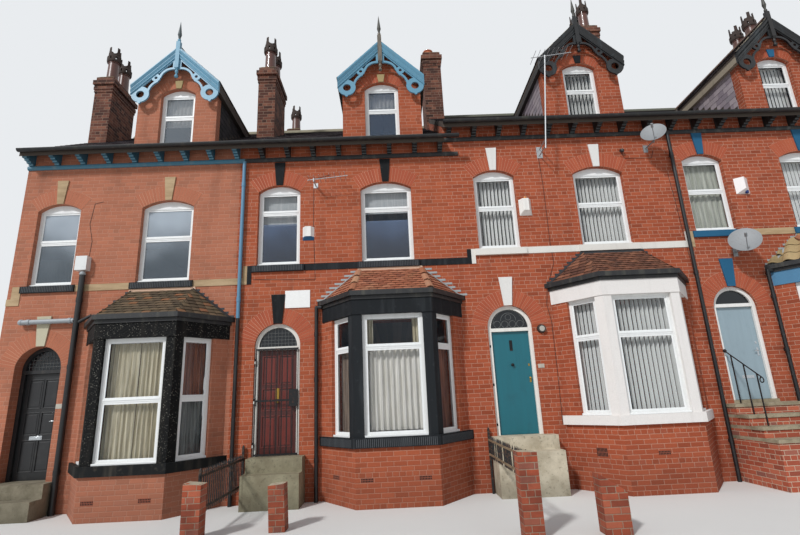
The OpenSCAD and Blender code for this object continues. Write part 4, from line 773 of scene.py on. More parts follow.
give(painted("eaves_board_paint", ["3a332d", "3a332d", "2a2624", "958a78"], 0.6, "241f1c", 0.3),
     "dormer_eaves")
give(post_paint("gable_post_paint"), "barge_posts")
give(pot_paint("pot_glaze"), "chimney_pots")
give(metal("cowl_paint", "3b302b", 0.0, 0.75, 0.3), "pot_cowls")
give(painted("window_white", "e9eae8", 0.3, "9c968c", 0.16),
     "front_window_frames bay_window_frames rear_window_frames")
give(glazing("panes"), "window_glass")
give(door_frame_paint("door_frame_paint"), "door_frames")
give(door_paint("door_a_paint", "131416", "3b3a38"), "door_a")
give(door_paint("door_b_paint", "4b1710", "260f0b"), "door_b")
give(door_paint("door_c_paint", "08626f", "0a4852"), "door_c")
give(door_paint("door_d_paint", "8fa2ab", "74858e"), "door_d")
give(metal("iron", "17181a", 0.35, 0.45, 0.4), "gate_b handrail_d")
give(yard_iron, "yard_railings")
give(pipe_paint("pipe_paint"), "downpipes")
give(step_paint("step_stone_worn"), "door_steps")
give(alarm_paint("alarm_case"), "alarm_boxes")
give(fitting_paint("fitting_case"), "wall_fittings")
give(metal("dish_grey", "8e9193", 0.2, 0.5, 0.15), "satellite_dishes")
give(metal("aerial_metal", "b4b6b8", 0.8, 0.4, 0.25), "aerials")

# Materials of the added pieces
white_pvc = painted("pvc_white", "eef0ef", 0.28, "a19b91", 0.12)
brass = metal("brass", "a88640", 0.95, 0.3, 0.1)
chrome = metal("chrome", "c4c8cb", 1.0, 0.15)
black_iron = metal("black_iron", "141517", 0.4, 0.45, 0.3)
rubbed = rubbed_brick("rubbed_brick")
mortar_pale = lime("lime_joint", "d3b198")
lead_light = metal("lead_light", "a3a7a8", 0.3, 0.6)
lead_dark = metal("lead_dark", "3b3d40", 0.4, 0.5)
slates = tiles("roof_slates", [(0.0, "4f474e"), (0.35, "5f545a"), (0.7, "6e6266"), (1.0, "574e52")], 0.45,
               "5d5f49")
hung_pale = tiles("hung_slates", [(0.0, "827880"), (0.4, "93888e"), (0.8, "a59a9e"), (1.0, "878086")], 0.12,
                  upright=True)
hung_dark = tiles("hung_slates_dark", ["232325", "2d2c2e", "383538"], 0.1, upright=True)
bay_tiles = [
    tiles("bay_tiles_a", [(0.0, "4f4336"), (0.4, "5f5141"), (0.86, "72604b"), (0.94, "94603f"),
                          (1.0, "8a6046")], 0.35, "55543f"),
    tiles("bay_tiles_b", [(0.0, "8f5540"), (0.5, "a3644a"), (0.9, "b0745a"), (1.0, "835040")], 0.2, "8d8765"),
    tiles("bay_tiles_c", [(0.0, "573a30"), (0.4, "6d4838"), (0.8, "7f5441"), (1.0, "8e6049")], 0.25,
          "4c4236"),
    tiles("bay_tiles_d", ["8a7656", "9f8a64", "b39c74"], 0.4, "5c5841"),
]


def roof_spans(pair):
    """Runs of slates on the front slope between its ends and round the dormers."""
    start, end = WALL[2 * pair], WALL[2 * pair + 2]
    slope = math.atan(ROOF_TAN)

    def spans(s):
        y = -EAVE_OUT + s * math.cos(slope)
        top = EAVE_Z + (y + EAVE_OUT) * ROOF_TAN
        runs, a = [], 0.0
        for i in (2 * pair, 2 * pair + 1):
            reach = (DORMER_RIDGE - top) / TAN_D
            half = DORMER_W / 2 + 0.01 if reach > DORMER_HALF else reach + 0.04
            if y + 0.2 > DORMER_BACK and half > 0.03:
                centre = LINE[i] + DORMER_X - start
                runs.append((a, centre - half))
                a = centre + half
        return runs + [(a, end - start)]
    return spans


SLATE_GAUGE, SLATE_W = 0.2, 0.26
HUNG_GAUGE, HUNG_W = 0.14, 0.22
SLATE_WANDER, HUNG_WANDER = (0.006, 0.006, 0.012), (0.004, 0.004, 0.01)
slate = flat_tile(SLATE_W, SLATE_GAUGE * 1.2, 0.012, 0.003)
front_l = math.hypot(HOUSE_D / 2 + EAVE_OUT, ROOF_RISE) - 0.12
rear_l = (HOUSE_D / 2 + REAR_OUT) / math.cos(math.atan(ROOF_TAN)) - 0.12
rear_eave = EAVE_Z + (EAVE_OUT - REAR_OUT) * ROOF_TAN
front_places, rear_places = [], []
for pair in (0, 1):
    up, left, right = LIFT[2 * pair], WALL[2 * pair], WALL[2 * pair + 2]
    plane = frame_at((left, -EAVE_OUT, EAVE_Z + up), (1, 0, 0), (0, 1, ROOF_TAN))
    front_places += courses(plane, roof_spans(pair), front_l, SLATE_W, SLATE_GAUGE, -0.03)
    plane = frame_at((right, HOUSE_D + REAR_OUT, rear_eave + up), (-1, 0, 0), (0, -1, ROOF_TAN))
    rear_places += courses(plane, lambda s: [(0, right - left)], rear_l, SLATE_W, SLATE_GAUGE, -0.03)
lay("roof_slates_front", slate, front_places, slates, SLATE_WANDER, 0.01, 3)
lay("roof_slates_rear", slate, rear_places, slates, SLATE_WANDER, 0.01, 4)


def seen_from(side, y0, y1):
    """Run from y0 to y1, as a plane that looks to that side counts it."""
    return [(y0, y1) if side > 0 else (-y1, -y0)]


# Slates of the dormers' slopes and the hung slates of their cheeks
slope_places, cheek_places, dark_places = [], [], []
dormer_eave = DORMER_RIDGE - DORMER_HALF * TAN_D
cheek_y = DORMER_BACK + DORMER_WALL
cheek_foot = EAVE_Z + (cheek_y + EAVE_OUT) * ROOF_TAN
cheek_h = DORMER_RIDGE - DORMER_W / 2 * TAN_D - 0.07 / COS_D - cheek_foot - 0.05
for i in HOUSES:
    for side in (1, -1):
        corner = at_dormer(i, 0, dormer_eave) + Vector((side * DORMER_HALF, 0, 0))
        plane = frame_at(corner, (0, side, 0), (-side * COS_D, 0, SIN_D))
        slope_places += courses(plane, lambda s: seen_from(
            side, DORMER_FACE - 0.062, roof_y(DORMER_RIDGE - (DORMER_HALF - s * COS_D) * TAN_D) - 0.03),
            DORMER_HALF / COS_D - 0.06, SLATE_W, SLATE_GAUGE)
        corner = at_dormer(i, 0, cheek_foot) + Vector((side * DORMER_W / 2, 0, 0))
        plane = frame_at(corner, (0, side, 0), (0, 0, 1))
        (cheek_places if i > 1 else dark_places).extend(courses(plane, lambda s: seen_from(
            side, cheek_y, max(cheek_y, roof_y(cheek_foot + s + 0.02))), cheek_h, HUNG_W, HUNG_GAUGE, 0.0))
lay("dormer_slates", slate, slope_places, slates, SLATE_WANDER, 0.01, 5)
hung_unit = flat_tile(HUNG_W, 0.165, 0.009, 0.002)
lay("cheek_slates_upper", hung_unit, cheek_places, hung_pale, HUNG_WANDER, 0.01, 6)
lay("cheek_slates_lower", hung_unit, dark_places, hung_dark, HUNG_WANDER, 0.01, 7)

# Ridge caps of the dormers, the mortar under their verge slates and two coved mouldings on each bargeboard
CAP_L = 0.3
COVES = ([(0.036, -0.002), (0.036, 0.046), (0.05, 0.046), (0.112, 0.006), (0.112, -0.002)],
         [(0.118, -0.002), (0.118, 0.03), (0.126, 0.03), (0.17, 0.005), (0.17, -0.002)])
cap = Shape().slab([(-0.12, -0.1), (-0.12, -0.075), (-0.03, 0.045), (0.03, 0.045), (0.12, -0.075),
                    (0.12, -0.1), (0.028, 0.015), (-0.028, 0.015)], -CAP_L / 2, CAP_L / 2 - 0.006)
cap_places, verge, barge_covers = [], Shape(), [Shape(), Shape()]
for i in HOUSES:
    place = move(at_dormer(i, 0, DORMER_RIDGE))
    count = int((roof_y(DORMER_RIDGE) - DORMER_FACE - 0.03) / CAP_L)
    cap_places += [place @ move((0, DORMER_FACE + 0.02 + (k + 0.5) * CAP_L, 0.012)) for k in range(count)]
    for side in (-1, 1):
        low, high = [[(side * x, up - x * TAN_D) for x in (0.055, DORMER_HALF + 0.004)]
                     for up in (0.002, 0.014)]
        verge.slab(low + high[::-1], DORMER_FACE - 0.058, DORMER_FACE - 0.002, place)
        for cove in COVES:
            points = [(side * x, DORMER_FACE - 0.06 - out, -x * TAN_D - down / COS_D)
                      for x in (0.0485, DORMER_HALF - 0.001) for down, out in cove]
            barge_covers[i // 2].skin(points, 2, len(cove), place)
ridge_clay = tiles("ridge_caps_clay", ["4a3833", "5c443b", "6d4f43"], 0.3, "5d5f49")
lay("dormer_ridge_caps", cap, cap_places, ridge_clay, (0.004, 0.004, 0.006), 0.01, 8)
put("dormer_verge_mortar", verge, lime("verge_mortar", "b8ab90"))
for label, shape in zip(("blue", "black"), barge_covers):
    paint = painted("barge_moulding_" + label, BARGE_TINTS, 0.32, "56646a", 0.3)
    put("barge_mouldings_" + label, shape, paint)


# Bay roofs: tiles on three planes, hips, stepped flashings at the wall
bay_e = BAY_WALL / 2 + 0.02 / math.sin(CANT)
bay_c = (BAY_FRONT / 2 + 0.02 * math.tan(CANT / 2), -BAY_OUT - 0.02)
BAY_GAUGE, BAY_TILE_W = 0.112, 0.165
plain_tile = flat_tile(BAY_TILE_W, BAY_GAUGE * 1.2, 0.019, 0.004, camber=0.005, cuts=3)
wave_tile = tile_unit([(0.3 * (t - 0.5), 0.026 * math.sin(math.tau * t) + 0.03)
                       for t in (k / 10 for k in range(11))], 0.34, (0.006, 0.02), (-0.014, 0))


def bay_planes(i):
    """Plane, runs and height of the front, right and left faces of a bay's roof."""
    left, right = [at_bay(i, side * BAY_RIDGE / 2, 0, BAY_ROOF) for side in (-1, 1)]
    wall_l, low_l, low_r, wall_r = [at_bay(i, x, y, BAY_EAVE) for x, y in (
        (-bay_e, 0), (-bay_c[0], bay_c[1]), bay_c, (bay_e, 0))]
    planes = []
    for corners in ([low_l, low_r, right, left], [low_r, wall_r, right], [wall_l, low_l, left]):
        along = (corners[1] - corners[0]).normalized()
        up = along.cross(corners[2] - corners[1]).normalized().cross(along)
        flat = [((q - corners[0]).dot(along), (q - corners[0]).dot(up)) for q in corners]

        def spans(s, flat=flat):
            s = max(s + 0.03, 0.001)
            cuts = [a0 + (a1 - a0) * (s - s0) / (s1 - s0)
                    for (a0, s0), (a1, s1) in zip(flat, flat[1:] + flat[:1])
                    if (s0 - s) * (s1 - s) <= 0 and abs(s1 - s0) > 1e-6]
            return [(min(cuts), max(cuts))] if len(cuts) > 1 else []
        planes.append((frame_at(corners[0], along, up), spans, max(q[1] for q in flat)))
    return planes


for i in HOUSES:
    # The fourth bay has larger, interlocking tiles
    unit, short, width, gauge = plain_tile, 0.05, BAY_TILE_W, BAY_GAUGE
    if i == 3:
        unit, short, width, gauge = wave_tile, 0.1, 0.28, 0.27
    places = [m for plane, spans, height in bay_planes(i)
              for m in courses(plane, spans, height - short, width, gauge)]
    lay("bay_tiles_" + "abcd"[i], unit, places, bay_tiles[i],
        (0.016, 0.012, 0.02) if i in (0, 2) else (0.006, 0.005, 0.008), 0.02, 20 + i)

hip_unit = Shape().slab([(-0.105, -0.045), (-0.09, -0.01), (-0.05, 0.035), (0.0, 0.05), (0.05, 0.035),
                         (0.09, -0.01), (0.105, -0.045), (0.08, -0.045), (0.0, 0.02), (-0.08, -0.045)],
                        0.0, 0.3)
HIP_GAUGE = 0.29
hip_places = []
flash_light, flash_dark, mortar_line = Shape(), Shape(), Shape()
step_rng = random.Random(5)
rise, slant = BAY_ROOF - BAY_EAVE, BAY_RIDGE / 2 - bay_e
for i in HOUSES:
    shape = flash_light if i in (1, 3) else flash_dark
    for side in (-1, 1):
        low = at_bay(i, side * bay_c[0], bay_c[1], BAY_EAVE)
        high = at_bay(i, side * BAY_RIDGE / 2, 0, BAY_ROOF)
        run = high - low
        aim = run.normalized()
        turn = frame_at((0, 0, 0), aim.cross(Vector((0, 0, 1))), aim)
        if i in (1, 3):
            count = int(run.length / HIP_GAUGE)
            hip_places += [move(low + aim * (0.02 + k * run.length / count)) @ turn for k in range(count)]
        # Steps of lead on the wall beside the roof, a course at a time
        for k in range(int(rise / COURSE) + 1):
            x_low = bay_e + slant * min(1.0, (k * COURSE) / rise)
            x_high = bay_e + slant * min(1.0, ((k + 1) * COURSE + 0.05) / rise)
            reach = (0.02, 0.11, 0.02, 0.07)[i] + step_rng.uniform(0.0, 0.05)
            xs = sorted((side * (x_high - 0.02), side * (x_low + reach)))
            place = move(at_bay(i, 0, 0, BAY_EAVE + k * COURSE))
            shape.box(xs, (-0.007, -0.0005), (0.01, COURSE * 0.62), place)
        # Strip of lead over the tiles along the wall
        foot = at_bay(i, side * bay_e, 0, BAY_EAVE)
        eave = (low - foot).normalized() * 0.1
        normal = (high - foot).cross(eave).normalized()
        if normal.z < 0:
            normal.negate()
        strip = [q + normal * up for up in (0.024, 0.018)
                 for q in (foot, high, high + eave * 0.55, foot + eave)]
        shape.skin(strip, 2, 4)
    half = BAY_RIDGE / 2 + 0.04
    (mortar_line, mortar_line, flash_dark, flash_light)[i].slab(
        [(-half, -0.012), (half, -0.012), (half - 0.02, 0.05), (-half + 0.02, 0.05)], -0.03, -0.0005,
        move(at_bay(i, 0, 0, BAY_ROOF)))
lay("bay_hip_tiles", hip_unit, hip_places, tiles("hip_clay", ["9c6347", "a9745a", "b58a6c"], 0.3, "9d927c"),
    (0.005, 0.005, 0.01), 0.02, 30)
put("bay_flashings_light", flash_light, lead_light)
put("bay_flashings_dark", flash_dark, lead_dark)
put("bay_roof_mortar", mortar_line, mortar_pale, bevel=0.004)


def arch_radius(w, rise):
    return (w * w / 4 + rise * rise) / (2 * rise)


def arch(kind, crowns, radius, half_w, depth, key_half, bricks, seed):
    """Rings of tapered rubbed bricks round some crowns, on both sides of each keystone."""
    key = math.asin(key_half / radius) + 0.004
    end = math.asin(min(0.995, half_w / radius))
    pitch = (end - key) / bricks
    low, high, cuts = radius + 0.001, radius + depth, 16
    a, b = [r * math.tan(pitch / 2) - 0.0026 for r in (low, high)]
    unit = Shape().slab([(-a, low), (a, low), (b, high), (-b, high)], -0.005, 0.004)
    places, backs = [], Shape()
    for crown in crowns:
        centre = move(crown - Vector((0, 0, radius)))
        for side in (-1, 1):
            places += [centre @ Matrix.Rotation(side * (key + (k + 0.5) * pitch), 4, "Y")
                       for k in range(bricks)]
            angles = [side * (key + (end - key) * k / cuts) for k in range(cuts + 1)]
            ring = [(r * math.sin(t), r * math.cos(t)) for r, turn in ((radius, 1), (high + 0.003, -1))
                    for t in angles[::turn]]
            backs.slab(ring, -0.0015, 0.004, centre)
    name = "arch_bricks_" + kind
    lay(name, unit, places, rubbed, seed=seed)
    put(name + "_joints", backs, mortar_pale)


ARCH_D = 0.33
for k, (kind, bricks) in enumerate((("small", 8), ("large", 9))):
    arch(kind, [at_front(i, WIN_X[k], 0.0, WIN_CROWN) for i in HOUSES], arch_radius(WIN_W[k], WIN_RISE),
         WIN_W[k] / 2, ARCH_D, 0.073, bricks, 40 + k)
arch("door", [at_front(i, DOOR_X, 0.0, FLOOR_Z + DOOR_CROWN) for i in HOUSES], DOOR_R,
     DOOR_W / 2, ARCH_D, 0.09, 13, 42)
arch("dormer", [at_dormer(i, DORMER_BACK, DORMER_CROWN) for i in HOUSES],
     arch_radius(DORMER_WIN, DORMER_RISE), DORMER_WIN / 2, 0.225, 0.063, 6, 43)


def cant_matrix(i, side, depth):
    """Matrix of a canted light: X along it, Y into the house and the origin at the middle of its sill."""
    along = Vector((math.cos(CANT), side * math.sin(CANT), 0))
    inward = Vector((-side * math.sin(CANT), math.cos(CANT), 0))
    corner = at_bay(i, side * BAY_WALL / 2, 0, BAY_SILL)
    middle = corner - along * side * (BAY_JAMB + CANT_WIN / 2) + inward * depth
    return axes(along, inward, Vector((0, 0, 1)), middle)


# Windows, with how much an arched head rises, and the height of the transom as a share of the window's
Window = namedtuple("Window", "house kind place width height rise transom")
HALF_TURN = Matrix.Rotation(math.pi, 4, "Z")
windows = []
for i in HOUSES:
    upper_share, bay_share = (0.53, 0.66, 0.52, 0.52)[i], (0.49, 0.72, 0.66, 0.66)[i]
    for k in (0, 1):
        windows.append(Window(i, "upper%d" % k, move(at_front(i, WIN_X[k], REVEAL, WIN_SILL)), WIN_W[k],
                              WIN_CROWN - WIN_SILL, WIN_RISE, upper_share))
    windows.append(Window(i, "dormer", move(at_dormer(i, DORMER_BACK + REVEAL, DORMER_SILL)), DORMER_WIN,
                          DORMER_CROWN - DORMER_SILL, DORMER_RISE, 0.5))
    windows.append(Window(i, "bay", move(at_bay(i, 0, 0.07 - BAY_OUT, BAY_SILL)), BAY_GLASS_W, BAY_LIGHT, 0,
                          bay_share))
    for side in (-1, 1):
        windows.append(Window(i, "cant%d" % side, cant_matrix(i, side, 0.07), CANT_WIN, BAY_LIGHT, 0,
                              bay_share))
    for across in (0.28, 0.72):
        for z in (FLOOR_Z, FIRST_Z):
            place = move(at_front(i, HOUSE_W * across, HOUSE_D - REVEAL, z + REAR_SILL)) @ HALF_TURN
            windows.append(Window(i, "rear", place, REAR_W, REAR_H, 0, 0.6))

FRAME_W, RAIL_HALF, SASH_W = 0.058, 0.027, 0.034
bars, arch_infill, sub_sills = Shape(), Shape(), Shape()
for win in windows:
    m, half = win.place, win.width / 2
    inner = half - FRAME_W
    top = win.height - (win.rise + 0.03 if win.rise else FRAME_W)
    foot, head = [win.height * win.transom + side * RAIL_HALF for side in (-1, 1)]
    bars.box((-inner, inner), (0.004, 0.021), (foot, head), m)
    bars.box((-inner, inner), (-0.006, 0.004), (foot + RAIL_HALF + 0.006, head), m)
    for z in ((FRAME_W, foot), (head, top)):
        bars.surround((-inner, inner), (0.010, 0.022), z, SASH_W, m)
    if win.rise:
        r = arch_radius(win.width, win.rise)
        xs = [(half - 0.02) * math.cos(math.pi * k / 14) for k in range(15)]
        arc = [(x, win.height - r + math.sqrt(r * r - x * x) - 0.006) for x in xs]
        arch_infill.slab([(0.02 - half, top), (half - 0.02, top)] + arc, -0.004, 0.020, m)
        crest = [(-0.24, 0.02), (-0.12, 0.052), (-0.05, 0.04), (0, 0.075), (0.05, 0.04), (0.12, 0.052),
                 (0.24, 0.02)]
        arch_infill.slab([(x, top + z) for x, z in crest], -0.010, -0.003, m)
    sub_sills.box((0.004 - half, half - 0.004), (-0.055, 0.0), (0.001, 0.038), m)
put("window_bars", bars, white_pvc, bevel=0.003)
put("window_arch_heads", arch_infill, white_pvc, bevel=0.003)
put("window_sub_sills", sub_sills, white_pvc, bevel=0.006)

# Ribs tooled on the black sills of the first two houses
RIB_PITCH = 0.034
rib = Shape().box((-0.0055, 0.0055), (-0.0035, 0.002), (-0.5, 0.5))
rib_places = []


def ribs_along(start, end, depth):
    """Adds the places of ribs on a sill's face, which runs from start to end along its top edge."""
    low, high = start.z - depth + 0.012, start.z - 0.02
    run = end - start
    count = int(run.length / RIB_PITCH)
    turn = Matrix.Rotation(math.atan2(run.y, run.x), 4, "Z") @ Matrix.Diagonal((1, 1, high - low, 1))
    for k in range(count):
        at = start + run * ((k + 0.5) / count)
        rib_places.append(move((at.x, at.y, (low + high) / 2)) @ turn)


for i in (0, 1):
    for k in (0, 1):
        half = WIN_W[k] / 2 + SILL_HORN - 0.03
        ends = [at_front(i, WIN_X[k] + side * half, -SILL_OUT, WIN_SILL) for side in (-1, 1)]
        ribs_along(*ends, SILL_H)
sill_x, sill_y = BAY_FRONT / 2 + 0.06 * math.tan(CANT / 2), -BAY_OUT - 0.06
sill_wall = BAY_WALL / 2 + 0.06 / math.sin(CANT)
line = [at_bay(1, x, y, BAY_SILL)
        for x, y in ((-sill_wall, 0), (-sill_x, sill_y), (sill_x, sill_y), (sill_wall, 0))]
for a, b in zip(line, line[1:]):
    inset = (b - a).normalized() * 0.05
    ribs_along(a + inset, b - inset, BAY_SILL_H)
# The ribs are painted a lighter grey than the black sills they stand on, a painted highlight of the light
# they catch
lay("sill_ribs", rib, rib_places, painted("sill_ribs_highlit", "4a4e52", 0.6, "6b6f70", 0.35), seed=9)

# Curtains, nets and slatted blinds behind the panes, on rails between the jambs
SHEET_ROWS, FOLD_CUTS = 7, 8
SLAT_HALF, SLAT_PITCH, SLAT_DEPTH = 0.0435, 0.083, 0.170
rails, sheets, slat_places = Shape(), [], []
slat = Shape().box((-SLAT_HALF, SLAT_HALF), (-0.0008, 0.0008), (-0.5, 0.5))


def find(house, kind):
    return next(w for w in windows if w.house == house and w.kind == kind)


def curtain(name, win, paint, x, z, depth, fold, swing):
    """Sheet of a window, from x[0] to x[1] and z[0] to z[1], on a rail. Without swing it is flat."""
    rng = random.Random(name)
    folds = max(1, round((x[1] - x[0]) / fold))
    columns, rows = folds * FOLD_CUTS if swing else FOLD_CUTS, SHEET_ROWS
    bumps = [rng.uniform(0.7, 1.25) for _ in range(folds + 1)]
    shift = [rng.uniform(-0.25, 0.25) for _ in range(folds + 1)]
    points = []
    for r in range(rows + 1):
        down = r / rows
        for t in (c / columns for c in range(columns + 1)):
            number = min(folds, int(t * folds))
            bend = math.sin(math.tau * t * folds + shift[number] * math.sin(math.pi * t * folds) ** 2 * down)
            out = bumps[number] * bend * (0.75 + 0.25 * down) + 0.2 * math.sin(3.0 * t + 5.0 * down)
            points.append((x[0] + (x[1] - x[0]) * t, depth + swing * out, z[1] - (z[1] - z[0]) * down))
    wide = columns + 1
    faces = [[k, k + wide, k + wide + 1, k + 1]
             for r in range(rows) for k in range(r * wide, r * wide + columns)]
    middle = points[3 * wide:4 * wide]
    flat_w = sum(math.dist(a, b) for a, b in zip(middle, middle[1:]))
    piece = put(name, Shape(closed=False).add(points, faces, win.place), paint, smooth=True)
    half = win.width / 2
    rails.tube([(-half, depth, z[1]), (half, depth, z[1])], 0.009, 8, win.place)
    sheets.append((piece, (flat_w, z[1] - z[0]), "gathered" if swing else "hung"))


def blind(win, turn):
    """Upright slats, all turned the same way, under a head rail."""
    rng = random.Random(win.kind + str(win.house))
    foot, head = 0.07, min(win.height - win.rise - 0.02, win.height - 0.05)
    half = win.width / 2
    rails.box((-half, half), (SLAT_DEPTH - 0.02, SLAT_DEPTH + 0.02), (head, head + 0.04), win.place)
    count = int(win.width / SLAT_PITCH)
    for k in range(count):
        angle = math.radians(turn) + rng.uniform(-0.06, 0.06)
        across = (k + 0.5) * win.width / count - half
        slat_places.append(win.place @ move((across, SLAT_DEPTH, (foot + head) / 2))
                           @ Matrix.Rotation(angle, 4, "Z") @ Matrix.Diagonal((1, 1, head - foot, 1)))


def inside(width, inset):
    return inset - width / 2, width / 2 - inset


cream = cloth("curtain_cream", "ebe3c8", "b5aa8c")
net = cloth("net_white", "fbf9f3", "dcd9ce")
net_green = cloth("net_pale", "d6d8cc", "a9ad9e")
peach = cloth("curtain_peach", "b97a5f", "7a4a3a")
taupe = cloth("curtain_taupe", "a08d7c", "6b5b4f")
grey_net = cloth("net_grey", "9a9d99", "5e625f")
blind_white = cloth("roller_white", "e3e6e6", "c9cfd1")
BAY_HALF, BAY_TOP, BAY_H = BAY_GLASS_W / 2, BAY_LIGHT - 0.08, BAY_LIGHT
CANT_IN, SMALL_IN, LARGE_IN, DORMER_IN = (inside(width, inset) for width, inset in (
    (CANT_WIN, 0.03), (WIN_W[0], 0.02), (WIN_W[1], 0.02), (DORMER_WIN, 0.02)))
UPPER_H, DORMER_H = WIN_CROWN - WIN_SILL, DORMER_CROWN - DORMER_SILL
UPPER_TOP, DORMER_TOP = UPPER_H - WIN_RISE - 0.02, DORMER_H - DORMER_RISE - 0.02
for name, house, kind, *rest in (
        ("curtain_a_left", 0, "bay", cream, (0.04 - BAY_HALF, 0.02), (0.05, BAY_TOP), 0.15, 0.10, 0.022),
        ("curtain_a_right", 0, "bay", cream, (0.03, BAY_HALF - 0.03), (0.05, BAY_TOP), 0.152, 0.085, 0.026),
        ("curtain_a_side", 0, "cant1", peach, CANT_IN, (BAY_H * 0.5, BAY_TOP), 0.14, 0.085, 0.018),
        ("net_a_side", 0, "cant1", grey_net, CANT_IN, (0.05, BAY_H * 0.5 - 0.02), 0.14, 0.09, 0.014),
        ("net_a_far", 0, "cant-1", grey_net, CANT_IN, (0.05, BAY_TOP), 0.14, 0.09, 0.014),
        ("net_b_front", 1, "bay", net, inside(BAY_GLASS_W, 0.05), (0.10, BAY_H * 0.715), 0.15, 0.105, 0.03),
        ("curtain_b_edge_left", 1, "bay", cream, (0.02 - BAY_HALF, 0.2 - BAY_HALF), (BAY_H * 0.74, BAY_TOP),
         0.15, 0.07, 0.02),
        ("curtain_b_edge_right", 1, "bay", cream, (BAY_HALF - 0.2, BAY_HALF - 0.02), (BAY_H * 0.74, BAY_TOP),
         0.152, 0.07, 0.02),
        ("curtain_b_left", 1, "cant-1", taupe, CANT_IN, (0.05, BAY_H * 0.715), 0.14, 0.075, 0.02),
        ("curtain_b_right", 1, "cant1", peach, CANT_IN, (0.05, BAY_H * 0.715), 0.14, 0.075, 0.02),
        ("roller_b_upper0", 1, "upper0", blind_white, SMALL_IN, (UPPER_H * 0.52, UPPER_TOP), 0.13, 0.5, 0.0),
        ("roller_b_upper1", 1, "upper1", blind_white, LARGE_IN, (UPPER_H * 0.63, UPPER_TOP), 0.13, 0.5, 0.0),
        ("net_a_dormer", 0, "dormer", net, DORMER_IN, (0.55, DORMER_TOP), 0.14, 0.09, 0.014),
        ("net_b_dormer", 1, "dormer", net, DORMER_IN, (DORMER_H * 0.5, DORMER_TOP), 0.14, 0.09, 0.014),
        ("net_a_upper", 0, "upper0", net_green, SMALL_IN, (0.06, 0.62), 0.14, 0.09, 0.014),
        ("net_d_upper", 3, "upper0", net_green, SMALL_IN, (0.06, UPPER_TOP), 0.14, 0.12, 0.018),
        ("curtain_d_front", 3, "bay", peach, inside(BAY_GLASS_W, 0.03), (0.05, BAY_TOP), 0.15, 0.1, 0.024)):
    curtain(name, find(house, kind), *rest)
for house, kind, turn in ((2, "upper0", -56), (2, "upper1", -66), (2, "dormer", -78), (2, "bay", -70),
                          (2, "cant-1", -16), (2, "cant1", 24), (3, "upper1", 10), (3, "dormer", 14)):
    blind(find(house, kind), turn)
put("curtain_rails", rails, painted("rail_white", "d6d6d2", 0.4))
lay("blind_slats", slat, slat_places, painted("slat_cream", "f7f9f6", 0.45, "d9dad2", 0.1), seed=10)


# Things on the doors, which ride the leaves
def on_leaf(i, across, up):
    """Point on a leaf's front from shares of its width and height."""
    left = LINE[i] + DOOR_X - DOOR_W / 2 + DOOR_FRAME + 0.005
    return Vector((left + LEAF_W * across, DOOR_Y[i] + 0.056, door_z(i) + 0.005 + LEAF_H[i] * up))


def plate(shape, at, wide, high, out=0.006, sink=0.002):
    shape.box((-wide / 2, wide / 2), (-out, sink), (-high / 2, high / 2), move(at))


def knob(shape, at, radius, out=0.05):
    profile = [(0.9, -0.002), (0.9, 0.006), (0.35, 0.012), (0.35, out * 0.5), (0.9, out * 0.66),
               (1.0, out * 0.85), (0.6, out)]
    shape.lathe([(radius * r, h) for r, h in profile], move(at) @ Matrix.Rotation(math.pi / 2, 4, "X"), 16)


def letter_plate(shape, at, wide, high):
    plate(shape, at, wide, high)
    plate(shape, at - Vector((0, 0.004, 0)), wide - 0.035, high - 0.032, 0.008, 0.0)


def lever(shape, at, reach):
    plate(shape, at, 0.034, 0.17, 0.007)
    shape.tube([(0, -0.004, 0.02), (0, -0.045, 0.02), (-reach, -0.05, 0.015)], 0.009, 10, move(at))


for i, code, scuff in ((0, "1b1c1e", "3b3a38"), (1, "6a2116", "260f0b")):
    # Planted mouldings and raised fields on the six panels of the first two doors
    shape, w = Shape(), 0.016
    for low, high in ((0.08, 0.36), (0.42, 0.62), (0.67, 0.94)):
        for left, right in ((0.13, 0.46), (0.54, 0.87)):
            a, b = on_leaf(i, left, low), on_leaf(i, right, high)
            shape.surround((a.x - w, b.x + w), (a.y - 0.007, a.y + 0.007), (a.z - w, b.z + w), w)
            shape.box((a.x + 0.03, b.x - 0.03), (a.y + 0.003, a.y + 0.0085), (a.z + 0.03, b.z - 0.03))
    name = "door_" + "ab"[i]
    put(name + "_mouldings", shape, door_paint(name + "_moulding", code, scuff), body=name, bevel=0.004)


def furnish(door, label, paint, *things):
    """Piece of some things on a leaf, each with its maker, its place on the leaf and its sizes."""
    shape = Shape()
    for make, across, up, *sizes in things:
        make(shape, on_leaf("abcd".index(door), across, up), *sizes)
    put("door_%s_%s" % (door, label), shape, paint, body="door_" + door, bevel=0.0015, smooth=True)


furnish("a", "fittings", chrome, (letter_plate, 0.46, 0.385, 0.25, 0.075), (lever, 0.93, 0.53, 0.11))
furnish("b", "fittings", brass, (plate, 0.5, 0.575, 0.07, 0.21, 0.01), (knob, 0.5, 0.5, 0.03),
        (plate, 0.93, 0.53, 0.035, 0.12), (knob, 0.93, 0.545, 0.018, 0.03))
furnish("c", "ironwork", black_iron, (plate, 0.51, 0.86, 0.062, 0.215, 0.007),
        (plate, 0.51, 0.86, 0.034, 0.17, 0.011, 0.0), (knob, 0.5, 0.665, 0.032))
a, b = on_leaf(2, 0.62, 0.62), on_leaf(2, 0.70, 0.86)
strip = Shape().box((a.x + 0.001, b.x - 0.001), (a.y + 0.0005, a.y + 0.0079), (a.z + 0.001, b.z - 0.001))
put("door_c_filled_slot", strip, door_paint("door_c_fill", "08626f", "0a4852"), body="door_c")
furnish("c", "fittings", brass, (plate, 0.93, 0.515, 0.035, 0.11), (knob, 0.93, 0.53, 0.02, 0.04),
        (plate, 0.93, 0.66, 0.03, 0.05))
furnish("d", "fittings", chrome, (letter_plate, 0.52, 0.235, 0.25, 0.06), (lever, 0.92, 0.5, 0.1),
        (plate, 0.92, 0.6, 0.035, 0.05))

